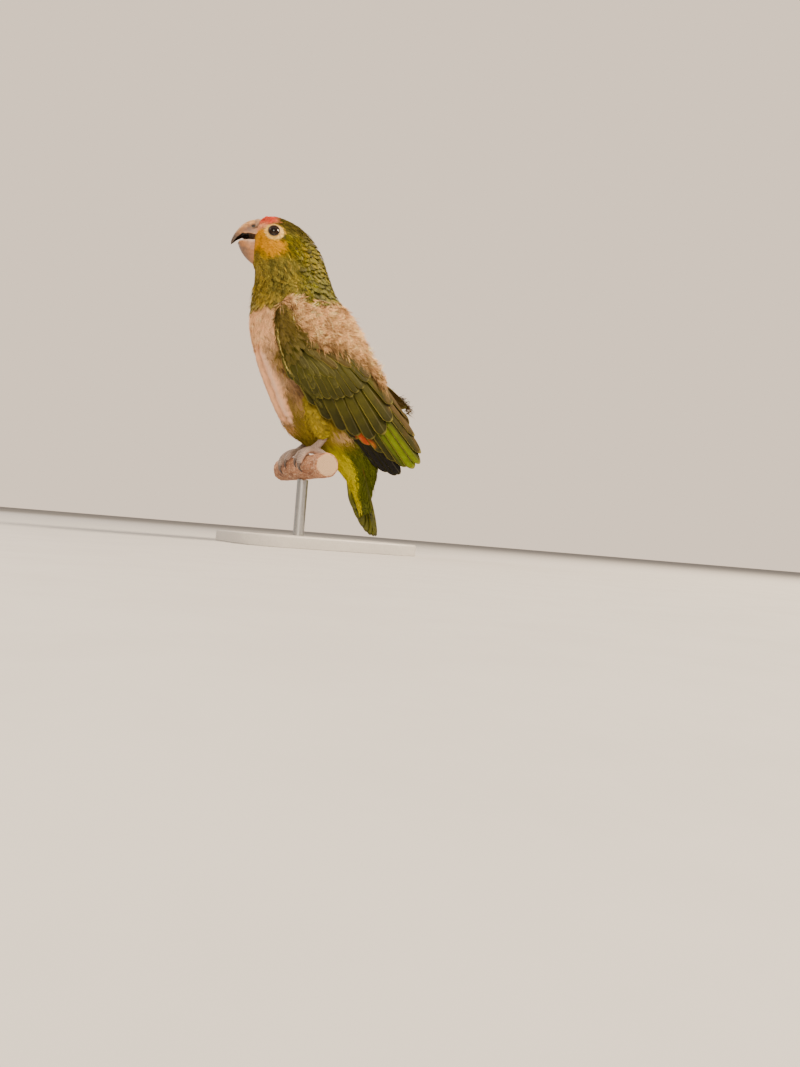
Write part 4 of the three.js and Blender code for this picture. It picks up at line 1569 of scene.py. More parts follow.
@dataclass(frozen=True)
class BarkFinish(Finish):
    """Thin reddish bark with pale flecks, cracks and long fibres along X."""

    brown: Colour = (0.34, 0.145, 0.07)
    pale: Colour = (0.52, 0.25, 0.13)
    fleck: Colour = (0.70, 0.46, 0.30)

    def wire(self, w: Wires, shader: Node) -> Socket:
        """Mixes three browns by stretched noise and lays pale flecks and dark cracks over them.

        Args:
            w: The material's nodes.
            shader: The shader that they feed.

        Returns:
            The height for the bump.
        """
        fibre = w.noise(260.0, 5.0, 0.65, w.stretched((0.25, 1.0, 1.0)), 0.6)
        patch = w.noise(70.0, 4.0, 0.6, w.stretched((0.5, 1.0, 1.0)))
        fleck = w.between(w.noise(560.0, 5.0, 0.75, w.stretched((0.6, 1.0, 1.0))), 0.50, 0.62)
        crack = w.between(w.noise(210.0, 4.0, 0.6, w.stretched((0.22, 1.0, 1.0)), 0.8), 0.36, 0.43)
        brown = w.mix(w.between(patch, 0.35, 0.65), rgba(self.brown), rgba(self.pale))
        brown = w.mix(w.between(fibre, 0.3, 0.7), w.mix(1.0, brown, rgba((0.55, 0.5, 0.48)), "MULTIPLY"), brown)
        brown = w.mix(w.times(fleck, 0.70), brown, rgba(self.fleck))
        brown = w.mix(crack, w.mix(1.0, brown, rgba((0.62, 0.52, 0.48)), "MULTIPLY"), brown)
        w.put(shader.inputs["Base Color"], brown)
        return w.plus(w.times(fibre, 0.7), w.times(crack, 0.3))


@dataclass(frozen=True)
class CutWoodFinish(Finish):
    """A sawn end with year rings round the branch's axis."""

    pale: Colour = (0.60, 0.42, 0.26)
    ring: Colour = (0.36, 0.21, 0.11)
    stain: Colour = (0.22, 0.13, 0.08)

    def wire(self, w: Wires, shader: Node) -> Socket:
        """Rings by the distance from the branch's axis, bent by noise, with saw marks across.

        Args:
            w: The material's nodes.
            shader: The shader that they feed.

        Returns:
            The height for the bump.
        """
        split = w.node("ShaderNodeSeparateXYZ")
        w.put(split.inputs[0], w.here())
        y, z = (w.minus(split.outputs[k + 1], PERCH_AXIS[k] * MM) for k in range(2))
        far = w.maths("SQRT", w.plus(w.times(y, y), w.times(z, z)))
        bent = w.plus(far, w.times(w.noise(120.0, 3.0), 0.0012))
        ring = w.plus(w.times(w.maths("SINE", w.times(bent, 5200.0)), 0.5), 0.5)
        wood = w.mix(w.times(ring, 0.6), rgba(self.pale), rgba(self.ring))
        stain = w.between(w.noise(900.0, 3.0), 0.5, 0.75, 0.0, 0.4)
        w.put(shader.inputs["Base Color"], w.mix(stain, wood, rgba(self.stain)))
        return w.plus(ring, w.noise(700.0, 2.0, 0.5, w.stretched((1.0, 0.15, 1.0))))


class Finishes(Enum):
    """Every material of the bird, its perch, its stand and the floor."""

    FLIGHT = VaneFinish("flight_feathers", bump=0.5, depth=0.00012, steady=(("Specular IOR Level", 0.16),),
                        rim=0.16, barbs=64.0, contrast=0.22, shaft=0.14)
    CONTOUR = VaneFinish("body_feathers", bump=0.45, depth=0.0002, steady=(("Specular IOR Level", 0.16),),
                         rim=0.30, barbs=11.0, contrast=0.24, shaft=0.12)
    FACE = VaneFinish("face_feathers", bump=0.35, depth=0.0002, steady=(("Specular IOR Level", 0.16),),
                      rim=0.24, barbs=6.0, contrast=0.30, shaft=0.0)
    DOWN = TintFinish("down", 0.9, 0.1, 0.0002, (("Specular IOR Level", 0.08),),
                      scale=160.0, blotches=0.22, specks=0.12, darker=0.62)
    SKIN = TintFinish("bare_skin", 0.62, 0.9, 0.0004, (("Subsurface Weight", 0.06), ("Subsurface Scale", 0.002)),
                      scale=260.0, blotches=0.38, specks=0.35, darker=0.66, cells=900.0)
    LIDS = TintFinish("eyelids", 0.5, 0.5, 0.0002, scale=700.0, blotches=0.2, specks=0.3, darker=0.66, cells=2600.0)
    CERE = TintFinish("cere", 0.55, 0.45, 0.0002, scale=600.0, blotches=0.35, specks=0.4, darker=0.6, cells=2400.0)
    BILL = TintFinish("bill", 0.44, 0.5, 0.0003, (("Coat Weight", 0.10), ("Coat Roughness", 0.35)),
                      scale=300.0, blotches=0.55, specks=0.45, darker=0.45)
    TONGUE = TintFinish("tongue", 0.25, 0.4, 0.0002, (("Coat Weight", 0.6), ("Coat Roughness", 0.12)),
                        scale=900.0, blotches=0.3, specks=0.4, darker=0.5, cells=2400.0)
    EYE = TintFinish("eye", 0.05, 0.0, 0.0001, (("Specular IOR Level", 0.28),),
                     scale=2200.0, blotches=0.3, specks=0.2, darker=0.5)
    FOOT = TintFinish("foot_skin", 0.55, 0.7, 0.0003, scale=500.0, blotches=0.35, specks=0.3, darker=0.55, cells=1500.0)
    CLAW = TintFinish("claws", 0.3, 0.2, 0.0001, (("Coat Weight", 0.3), ("Coat Roughness", 0.2)),
                      scale=500.0, blotches=0.4, specks=0.2, darker=0.5)
    BARK = BarkFinish("bark", 0.8, 0.9, 0.0006)
    WOOD = CutWoodFinish("cut_wood", 0.75, 0.5, 0.0002)
    PLATE = GrainFinish("stand_plate", 0.42, 0.08, 0.0001, colour=(0.62, 0.60, 0.57), dark=(0.55, 0.53, 0.50),
                        scale=700.0)
    STEEL = GrainFinish("stand_steel", 0.3, 0.1, 0.0001, (("Metallic", 1.0),), colour=(0.62, 0.63, 0.64),
                        dark=(0.50, 0.51, 0.52), stretch=(1.0, 1.0, 0.03), scale=2500.0)
    FLOOR = GrainFinish("floor", 0.7, 0.02, 0.0001, colour=(0.62, 0.61, 0.60), dark=(0.58, 0.57, 0.56), scale=40.0)

    @cached_property
    def material(self) -> bpy.types.Material:
        """The material, made when it is first asked for."""
        return self.value.made()


# ---------------------------------------------------------------- flesh


def around(count: int) -> Array:
    """Even steps of a full turn, from -pi."""
    return np.linspace(-np.pi, np.pi, count, endpoint=False)


def ringed(rows: Array, columns: int) -> tuple[Array, Array]:
    """A grid of p rows and full turns of q."""
    return np.meshgrid(rows, around(columns), indexing="ij")


def skin_depth(s: Array, t: Array) -> Array:
    """How far the wing's flesh lies under the dome: deeper towards the belly edge."""
    edge = -34 + 0.5 * s
    return 3.0 + (0.8 - 3.0) * smooth(t, edge, edge + 14)


def border(s: Array) -> Array:
    """Where the down of the back ends and the wing's feathers begin, as t for each s."""
    along = [-20, 0, 11, 18, 34, 46, 58, 68, 80, 89, 98, 110]
    return np.interp(s, along, [6, 0, 1, -5, -12, -11, -1, 3, 3, 10, 12, 13])


@dataclass
class PadForm(Form):
    """The flesh of the folded left wing: an egg bent to the dome, p from shoulder to tip and q round it.

    At q = 0 is the edge towards the back, at pi the front edge, and beyond pi the side towards the body.
    """

    step_p: float = 4e-3
    step_q: float = 1e-2

    def bare(self, p: Array, q: Array) -> Array:
        """The point of the egg's surface at p and q.

        Args:
            p: Places along the form.
            q: Places across it.

        Returns:
            The points.
        """
        s, t = self.place(p, q)
        c = np.sqrt(np.clip(1 - p**2, 0, 1)) * np.sin(q)
        return DOME.at(s, t, -(skin_depth(s, t) + 0.8 + 6.4 * (1 - np.sign(c) * np.abs(c) ** 0.6)))

    @staticmethod
    def place(p: Array, q: Array) -> tuple[Array, Array]:
        """The egg's s and t, slimmer towards the shoulder.

        Args:
            p: Places along the form.
            q: Places across it.

        Returns:
            Their s and their t.
        """
        p = np.clip(p, -1, 1)
        b = np.sqrt(1 - p**2) * np.cos(q)
        front = np.interp(p, [-1, -0.85, -0.7, -0.4, 0.0], [0.80, 0.85, 0.92, 1.03, 1.0])
        slim = np.where(b < 0, front, 0.55 + 0.45 * smooth(p, -0.6, 0.0))
        return 50 + np.where(p < 0, 49, 57) * p, -3 + 36 * b * slim - 7 * p

    def at(self, p: Array, q: Array, lift: Array | float = 0.0) -> Array:
        """The point at p and q, pushed out by lift.

        Args:
            p: Places along the form.
            q: Places across it.
            lift: How far the points are pushed out.

        Returns:
            The points.
        """
        here = self.bare(p, q)
        normal = unit(np.cross(self.bare(p, q + 0.05) - here, self.bare(p + 0.01, q) - here))
        away = ((here - DOME.at(50.0 + 50.0 * np.clip(p, -0.9, 0.9), -3.0 + 0.0 * p, -10.5)) * normal).sum(-1)
        return here + normal * (np.sign(away) * (np.asarray(lift) + 0.0 * p))[..., None]

    def unwrap(self, p: Array, q: Array) -> Array:
        """The left quarter of the map."""
        return np.stack([0.02 + 0.2 * ((q / (2 * np.pi)) % 1.0), 0.5 + 0.46 * p], -1)


@dataclass
class Skin:
    """The one skin of head, neck, body, thighs and the flesh of the wings, under the coat."""

    rows: int = 230
    columns: int = 300
    socket: float = 5.0

    @staticmethod
    def coat(p: Array, q: Array) -> Array:
        """How deep the coat is over the skin: thin on the face, nothing on the keel and round the eyes.

        Args:
            p: Places along the form.
            q: Places across it.

        Returns:
            The depths in millimetres.
        """
        deep = 1.9 - 1.1 * smooth(p, 0.62, 0.85)
        bare = np.maximum(Markings.keel(p, q), 1 - smooth(EYE.ring(FLESH.still(p, q)), 0.95, 1.15))
        return deep * (1 - 0.9 * bare)

    def torso(self) -> Mesh:
        """The body's loft, let in by the coat, with the eye sockets, the wrinkles round the eyes and the keel.

        Returns:
            The torso, neck and head.
        """
        p, q = ringed(np.linspace(0, 1, self.rows), self.columns)
        still = FLESH.still(p, q, -self.coat(p, q))
        left = still * np.where(still[..., :1] < 0, -1.0, 1.0) * [1, 0, 0] + still * [0, 1, 1]
        off, ring = EYE.off_axis(left), EYE.ring(still)
        near = (left[..., 0] > 9) & (np.abs(still[..., 1:] - EYE.place[1:]).max(-1) < 12)
        way = EYE.way * np.where(still[..., :1] < 0, [-1.0, 1.0, 1.0], [1.0, 1.0, 1.0])
        wrinkle = 0.24 * np.sin(off * 2 * np.pi / 0.95 + 1.6 * ripple(still, 4.0, 3)) * (1 - smooth(ring, 0.9, 1.15))
        wrinkle = wrinkle + 0.20 * ripple(still, 1.3, 4) * (1 - smooth(ring, 0.9, 1.15))
        still = still + way * np.where(near, wrinkle - self.socket * (1 - smooth(off, 3.6, 5.0)), 0.0)[..., None]
        turn, keel = Markings.turn_from_front(q), Markings.keel(p, q)
        fold_line = turn + 1.5 * ripple(still, 14.0, 16)
        ridge = keel * (0.8 * bell(turn, 0, 4.0) - 0.8 * bell(fold_line, 10, 3.0) + 0.7 * bell(fold_line, 20, 6.0))
        fold = keel * 0.18 * np.sin(p * 620 + 2.2 * ripple(still, 9.0, 6)) * bell(turn, 0, 24)
        still[..., 1] -= ridge + fold + keel * (0.16 * ripple(still, 2.2, 7) + 0.22 * ripple(still, 5.0, 17))
        bare = 1 - smooth(ring, 0.96, 1.08)
        # Under the coat the skin is a darker copy of the coat's colour: painted shade for the gaps between feathers.
        under = Markings.body(p, q) * (1 - 0.38 * (1 - np.maximum(bare, keel)))[..., None]
        # Round the eye the bare skin's colour follows the wrinkles: painted highlight on their ridges and painted shade
        # in their troughs, over its own uneven tone.
        mottled = Hue.EYE_RING.rgb * (1 + 0.16 * ripple(still, 2.6, 15) + 1.1 * wrinkle)[..., None]
        # The keel's crease gets painted shade and its raised fold a painted highlight.
        groove = keel * bell(fold_line, 9.5, 3.0) * (0.75 + 0.25 * ripple(still, 5.0, 9))
        tint = painted(under, p.shape, (mottled, bare), (Hue.LID, np.where(near, 1 - smooth(off, 4.6, 5.2), 0.0)),
                       (Hue.KEEL_CREASE_SHADE, 0.75 * groove), (Hue.KEEL_FOLD_HIGHLIGHT, keel * 0.6 * bell(fold_line, 19, 5.0)))
        rings = TURN.apply(still, smooth(p, TURN.start, TURN.end))
        mesh = tube(rings, np.array([0.0, *FLESH.tail_pole]), TURN.apply(np.array([0.0, *FLESH.face_pole])), tint)
        mesh.bake[:-2] = FLESH.unwrap(p, q).reshape(-1, 2)
        return mesh

    def thigh(self, side: float) -> Mesh:
        """One thigh under its feathers.

        Args:
            side: 1 for the left, -1 for the right.

        Returns:
            The thigh.
        """
        form = LimbForm(side)
        p, q = ringed(np.linspace(0, 1, 40), 60)
        still = form.at(p, q, np.full_like(p, -1.6))
        # Painted shade: a darker copy of the feathers' yellow, for the gaps between them.
        tint = np.broadcast_to(Hue.BELLY_YELLOW.rgb * 0.45, still.shape)
        ends = (form.at(np.array(end), np.array(0.0), np.array(lift)) for end, lift in ((0.0, -14.0), (1.0, -5.0)))
        return tube(still, *ends, tint)

    def pad(self) -> Mesh:
        """The flesh of the folded left wing.

        Returns:
            The left wing's flesh.
        """
        form = PadForm()
        p, q = ringed(np.linspace(-1, 1, 62)[1:-1], 90)
        s, t = form.place(p, q)
        # Painted shade: a darker copy of the wing's green under the feathers, and the dark of the down's roots under
        # the down.
        green = Hue.WING.rgb * 0.6
        tint = green + (Hue.DOWN_ROOT_SHADE.rgb - green) * smooth(t - border(s), -4, 4)[..., None]
        return tube(form.bare(p, q), *(form.bare(np.array(end), np.array(0.0)) for end in (-1.0, 1.0)), tint)

    def dress(self) -> None:
        """Builds the skin as one piece."""
        pad = self.pad()
        mesh = Mesh.joined([self.torso(), self.thigh(1), self.thigh(-1), pad, right_wing(pad)])
        build("skin", mesh, Finishes.SKIN, ("torso", "neck", "head", "thigh_left", "thigh_right"))


# ---------------------------------------------------------------- small feathers and down


@dataclass
class Plumage:
    """The small feathers of head, neck, belly and rump."""

    seed: int = 11

    @staticmethod
    def nape(p: Array, q: Array) -> Array:
        """1 over the back of head and neck, where feathers are broad with dark edges, and 0 on face and throat."""
        away = smooth(EYE.ring(FLESH.still(p, q)), 1.9, 2.8)
        return smooth(Markings.turn_from_front(q), 84, 126) * (1 - smooth(p, 0.70, 0.83)) * away

    @staticmethod
    def streaked(still: Array, nape: Array, rng: np.random.Generator) -> tuple[Array, Array]:
        """The colours of head feathers, singly and in clumps yellower or darker, and the colours of their edges.

        Args:
            still: Points before the head's turn.
            nape: How far each feather belongs to the nape.
            rng: The source of the differences.

        Returns:
            The feathers' colours and the colours of their edges.
        """
        tint = Markings.head(still)
        share = rng.normal(0, 0.8, len(tint)) + 0.85 * ripple(still * [1.0, 1.0, 0.6], 5.0, 21)
        made = painted(tint, share.shape, (tint * [1.75, 1.50, 1.2], smooth(share, 0.2, 1.7) * 0.95),
                       (tint * [0.40, 0.40, 0.4], smooth(-share, 0.3, 1.7) * 0.95))
        plain = smooth(tint[:, :1], 0.2, 0.4)
        made = made * (1 - plain) + tint * (1 + 0.05 * share[:, None]) * plain
        return made, made * (0.80 - 0.58 * nape[:, None] * (1 - plain)) * [1.0, 1.0, 0.9]

    def head(self) -> None:
        """Short dense feathers from the bill's base to the neck, none on the ring round the eye."""
        rng = bristle(1, self.seed)
        p, q = rows_on(FLESH, 92, lambda p: 2.7 - 0.8 * smooth(p, 0.62, 0.8) - 0.35 * smooth(p, 0.85, 0.95),
                       (0.615, 0.998), rng, wobble=0.3)
        ring = EYE.ring(FLESH.still(p, q))
        keep = ring > 1.0 + 0.05 * rng.normal(size=len(p))
        keep &= rng.uniform(size=len(p)) > 0.9 * smooth(self.nape(p, q), 0.2, 0.7)
        p, q, ring = p[keep], q[keep], ring[keep]
        still, way, nape = FLESH.still(p, q), FLESH.lie(p, q), self.nape(p, q)
        size = 1 - 0.42 * smooth(p, 0.66, 0.90) - 0.12 * smooth(p, 0.93, 0.99)
        size = size * (1 - 0.52 * (1 - smooth(ring, 1.0, 1.6)))
        tint, rim = self.streaked(still, nape, rng)
        quill = Quill(rows=6, tip=1.5, sink=0.5, rise=0.55, fray=0.22)
        mesh = vanes(FLESH, p, q, way, (7.2 + 1.4 * nape) * size, (3.7 + 3.2 * nape) * size, quill, tint, rim, 3)
        build("head_feathers", mesh, Finishes.FACE)
        soft = rng.uniform(size=len(p)) > 0.75 * nape
        fluff = Fluff(strands=5, length=6.2, width=0.25, spread=0.18, stand=0.10, curl=0.18, clump=0.2)
        green = 1 - smooth(tint[soft][:, :1], 0.2, 0.4)
        tint = tint[soft] * np.exp(0.42 * green * rng.normal(size=(soft.sum(), 1)))
        tip = np.clip(tint * 1.15, 0, 1)
        mesh = down(FLESH, p[soft], q[soft], way[soft], fluff, tip, tint * 0.7, 16, -0.3, size[soft])
        build("head_barbs", mesh, Finishes.DOWN)

    def neck(self) -> None:
        """Feathers round the neck: broad with dark edges behind, narrow and loose in front, hanging over the down."""
        rng = bristle(2, self.seed)
        p, q = rows_on(FLESH, 56, lambda p: 3.8 - 0.7 * smooth(p, 0.58, 0.66), (0.568, 0.66), rng, wobble=0.3)
        keep = rng.uniform(size=len(p)) > 0.9 * smooth(self.nape(p, q), 0.2, 0.7)
        p, q = p[keep], q[keep]
        way, nape = FLESH.lie(p, q), self.nape(p, q)
        tint, rim = self.streaked(FLESH.still(p, q), nape, rng)
        length = 9.4 + 1.6 * (1 - smooth(p, 0.57, 0.59)) + 1.6 * nape
        quill = Quill(rows=8, columns=7, sink=0.9, camber=0.7, fray=0.16, curl=0.3)
        mesh = vanes(FLESH, p, q, way, length, 5.0 + 4.0 * nape, quill, tint, rim, 4)
        build("neck_feathers", mesh, Finishes.CONTOUR)
        fluff = Fluff(strands=8, length=8.4, width=0.34, spread=0.20, stand=0.26, curl=0.40, clump=0.60)
        soft = rng.uniform(size=len(p)) > 0.8 * nape
        tint = tint[soft] * np.exp(0.50 * rng.normal(size=(soft.sum(), 1)))
        mesh = down(FLESH, p[soft], q[soft], way[soft], fluff, tint * 1.25, tint * 0.42, 17, -0.5)
        build("neck_barbs", mesh, Finishes.DOWN)

    def scales(self) -> None:
        """Broad rounded feathers with dark edges, laid like tiles down the back of the head and neck."""
        rng = bristle(6, self.seed)
        p, q = rows_on(FLESH, 23, lambda p: 5.8 - 1.9 * smooth(p, 0.58, 0.80), (0.569, 0.83), rng,
                       (math.radians(-12), math.radians(192)), wobble=0.30)
        nape = self.nape(p, q)
        keep = rng.uniform(size=len(p)) < smooth(nape, 0.05, 0.5)
        p, q, nape = p[keep], q[keep], nape[keep]
        still = FLESH.still(p, q)
        way = unit(FLESH.lie(p, q) + 0.22 * rng.normal(size=still.shape))
        tint, rim = self.streaked(still, nape, rng)
        size = (1.08 - 0.36 * smooth(p, 0.58, 0.80)) * rng.uniform(0.80, 1.15, len(p))
        quill = Quill(rows=9, columns=9, root=0.6, tip=1.15, sink=1.2, rise=1.2, camber=0.9, fray=0.10, curl=0.45)
        mesh = vanes(FLESH, p, q, way, 13.5 * size, 11.2 * size, quill, tint, rim, 9)
        build("nape_feathers", mesh, Finishes.CONTOUR)
        fluff = Fluff(strands=5, length=8.4, width=0.24, spread=0.14, stand=0.11, curl=0.10, clump=0.1)
        mesh = down(FLESH, p, q, way, fluff, tint * 1.12, tint * 0.7, 18, -0.9, size)
        build("nape_barbs", mesh, Finishes.DOWN)

    def body(self) -> None:
        """Longer soft feathers over belly, flanks and rump, and the yellow ones under the tail."""
        rng = bristle(3, self.seed)
        p, q = rows_on(FLESH, 56, lambda p: 4.6 - 0.8 * smooth(p, 0.2, 0.35), (0.03, 0.375), rng)
        still, turn = FLESH.still(p, q), Markings.turn_from_front(q)
        s, t = DOME.plane(still)
        keep = (Markings.keel(p, q) < 0.4) & ((p + 0.012 * ripple(still, 11.0, 8) < 0.330) | (turn > 100))
        keep &= (s < 114) | (t < -40) | (turn < 60) | (turn > 125) | (np.cos(q) < 0)
        p, q, turn = p[keep], q[keep], turn[keep]
        way = FLESH.lie(p, q)
        under = (1 - smooth(p, 0.16, 0.22)) * (1 - smooth(turn, 88, 110))
        tint = varied(Markings.body(p, q), rng, 0.10)
        rim = tint * np.array([1.12, 1.12, 1.1]) + 0.004
        quill = Quill(rows=7, columns=7, root=0.45, sink=1.7, rise=0.7, camber=0.8, fray=0.16, curl=0.15)
        mesh = vanes(FLESH, p, q, way, 13.5 + 6.0 * under, 8.4 + 1.0 * under, quill, tint, rim, 5)
        build("body_feathers", mesh, Finishes.CONTOUR)
        fluff = Fluff(strands=12, length=10.0, width=0.36, spread=0.20, stand=0.10, curl=0.14)
        mesh = down(FLESH, p, q, way, fluff, tint * 1.12, tint * 0.8, 15, -0.4)
        build("body_barbs", mesh, Finishes.DOWN)

    def patch(self, count: int = 170) -> None:
        """The few olive feathers in the chest down, on either side of the keel.

        Args:
            count: How many tufts there are.
        """
        rng = bristle(4, self.seed)
        p = rng.normal(0.408, 0.012, count)
        q = np.radians(-90 + rng.normal(46, 5.5, count) * np.where(np.arange(count) % 2 == 0, 1, -1))
        tint = varied(painted(Hue.BELLY, p.shape, (Hue.TAN, rng.uniform(0, 0.9, count))), rng, 0.2)
        fluff = Fluff(strands=10, length=6.5, width=0.5, spread=0.30, stand=0.30, curl=0.3)
        mesh = down(FLESH, p, q, FLESH.lie(p, q), fluff, tint, tint * 0.7, 6, 0.2)
        build("chest_feathers", mesh, Finishes.DOWN)

    def thighs(self) -> None:
        """Feathers that hang down both thighs to the heels."""
        parts = []
        for side in (1.0, -1.0):
            form = LimbForm(side)
            rng = bristle(5, self.seed)
            p, q = rows_on(form, 22, 3.8, (0.02, 0.93), rng)
            form.face_out(p, q)
            tint = varied(painted(Hue.BELLY_YELLOW, p.shape), rng, 0.16)
            tint = painted(tint, p.shape, (Hue.UNDER_TAIL, 0.3 * smooth(p, 0.6, 0.95)))
            size = 1 - 0.25 * smooth(p, 0.5, 1.0)
            quill = Quill(rows=6, sink=1.4, rise=0.9, camber=0.6, fray=0.22, curl=0.2)
            along = form.basis(p, q)[1]
            parts.append(vanes(form, p, q, along, 9.5 * size, 6.4 * size, quill, tint, tint * 1.25, 7))
        build("thigh_feathers", Mesh.joined(parts), Finishes.CONTOUR)

    def dress(self) -> None:
        """Builds all of them."""
        for part in (self.head, self.neck, self.scales, self.body, self.patch, self.thighs):
            part()


@dataclass
class DownCoat:
    """The down of a half-grown bird: cream tufts on shoulders and back, short matted down on the chest."""

    seed: int = 23

    def chest(self) -> None:
        """Short flat down on both sides of the keel and up to the neck."""
        rng = bristle(1, self.seed)
        p, q = rows_on(FLESH, 96, 2.1, (0.325, 0.568), rng, wobble=0.45)
        keep = (Markings.turn_from_front(q) < 112) & (Markings.keel(p, q) < rng.uniform(0.02, 0.75, len(p)))
        p, q = p[keep], q[keep]
        tint = varied(Markings.body(p, q), rng, 0.08)
        fluff = Fluff(strands=12, length=5.4, width=0.32, spread=0.34, stand=0.20, curl=0.34, clump=0.35)
        high = 1 + 0.35 * smooth(p, 0.47, 0.54)
        mesh = down(FLESH, p, q, FLESH.lie(p, q), fluff, tint, tint * 0.62, 8, 0.9, high)
        build("chest_down", mesh, Finishes.DOWN)

    def back(self) -> None:
        """Longer loose down across the back between the wings."""
        rng = bristle(2, self.seed)
        p, q = rows_on(FLESH, 78, 2.4, (0.30, 0.556), rng, wobble=0.45)
        keep = Markings.turn_from_front(q) > 96 + 10 * ripple(FLESH.still(p, q), 12.0, 4)
        p, q = p[keep], q[keep]
        still = FLESH.still(p, q)
        # Tan patches by noise: painted shade between the clumps of down.
        tint = painted(Hue.DOWN, p.shape, (Hue.TAN, 0.80 * smooth(ripple(still, 8.0, 24), 0.1, 1.0)))
        tint, root = varied(tint, rng, 0.15), painted(Hue.DOWN_ROOT_SHADE, p.shape)
        fluff = Fluff(strands=15, length=7.6, width=0.33, spread=0.42, stand=0.48, curl=0.80, clump=0.8)
        mesh = down(FLESH, p, q, FLESH.lie(p, q), fluff, tint, root, 9, scale=1 + 0.22 * ripple(still, 7.0, 25))
        build("back_down", mesh, Finishes.DOWN)

    def shoulder(self) -> None:
        """Fluffy tufts over the folded wings, and brown streaks where the feathers begin."""
        rng = bristle(3, self.seed)
        s, t = np.meshgrid(np.arange(-9, 128, 2.0), np.arange(-16, 50, 1.9), indexing="ij")
        s = s.ravel() + rng.uniform(-1.2, 1.2, s.size)
        t = t.ravel() + rng.uniform(-1.2, 1.2, t.size)
        edge = border(s) + 3.0 * ripple(on_plane(s, t), 9.0, 12)
        room = np.interp(s, DOME.reach_s, DOME.reach) - 12 - 0.05 * np.maximum(s - 60, 0)
        ridge = np.interp(s, [0, 2, 6, 9.5, 23, 39, 50, 55], [-9, 1, 10, 12, 15.5, 28, 31, 60])
        keep = (t > edge) & (t - DOME.crest < room) & (s < 118) & (t < ridge + 1.5 * rng.normal(size=s.size))
        s, t = s[keep], t[keep]
        way, place = DOME.towards(s, t, 2, 0.5), on_plane(s, t)
        near = 1 - smooth(t - border(s), 1, 12)
        streak = smooth(ripple(place, 8.0, 14) + 0.9 * smooth(s, 20, 50), -0.3, 0.8)
        # The tan patches are painted shade between the clumps; the brown streaks are the feathers' own colour.
        tint = painted(Hue.DOWN, s.shape,
                       (Hue.TAN.rgb * 0.8, (0.55 + 0.35 * near) * smooth(ripple(place, 7.0, 13), 0.05, 0.9)),
                       (Hue.WORN.rgb * 1.6, 0.92 * near * streak))
        tint = varied(tint, rng, 0.12)
        tint = np.clip(tint * np.exp(0.20 * rng.normal(size=(len(s), 1))), 0, 1)
        depth, size = 1.2 + DOME.fall(s, t), 0.8 + 0.45 * smooth(t, 0, 30) + 0.35 * near
        streaky = (near > rng.uniform(0.3, 0.9, len(s))) & (s > 44)
        loose = Fluff(strands=14, length=6.6, width=0.32, spread=0.42, stand=0.42, curl=0.85, clump=0.80)
        flat = Fluff(strands=12, length=7.0, width=0.32, spread=0.24, stand=0.22, curl=0.45, clump=0.5)
        mesh = Mesh.joined([
            down(DOME, s[k], t[k], way[k], fluff, tint[k], painted(Hue.DOWN_ROOT_SHADE, s[k].shape), 10, depth[k], size[k])
            for k, fluff in ((~streaky, loose), (streaky, flat))])
        build("wing_down_left", mesh, Finishes.DOWN)
        build("wing_down_right", right_wing(mesh), Finishes.DOWN)

    def dress(self) -> None:
        """Builds all the down."""
        for part in (self.chest, self.back, self.shoulder):
            part()


# ---------------------------------------------------------------- wings and tail


class Kind(Enum):
    """The tiers of long wing feathers."""

    PRIMARIES = "primaries"
    SECONDARIES = "secondaries"
    GREATER_COVERTS = "greater coverts"
    MEDIAN_COVERTS = "median coverts"


@dataclass(frozen=True)
class Tier:
    """One tier of long wing feathers; roots and tips are curves of s and t from the belly edge to the back."""

    kind: Kind
    count: int
    depth: float
    width: float
    tilt: float
    roots: tuple[tuple[float, float], ...]
    tips: tuple[tuple[float, float], ...]
    base: Hue
    edge: Hue


TIERS = (
    Tier(Kind.PRIMARIES, 6, 5.9, 12.5, 0.10, ((82, -37), (88, -29), (92, -20)),
         ((152, -42), (176, -40), (192, -30)), Hue.PRIMARY, Hue.OLIVE),
    Tier(Kind.SECONDARIES, 10, 4.9, 16.0, 0.14, ((64, -29), (78, -21), (90, -10), (92, 0), (82, 11), (62, 20)),
         ((134, -36), (161, -28), (188, -20), (201, -9), (193, 11), (166, 27)), Hue.OLIVE, Hue.WING_EDGE),
    Tier(Kind.GREATER_COVERTS, 9, 2.4, 17.5, 0.14,
         ((38, -29), (58, -27), (74, -18), (82, -6), (80, 7), (60, 18)),
         ((83, -44), (112, -42), (133, -34), (149, -18), (145, 6), (123, 28)), Hue.WING, Hue.WING_EDGE),
    Tier(Kind.MEDIAN_COVERTS, 12, 0.2, 11.0, 0.13, ((18, -22), (34, -22), (50, -15), (60, -4), (56, 6)),
         ((55, -43), (78, -39), (94, -27), (103, -10), (103, 9)), Hue.WING, Hue.WING_EDGE),
)


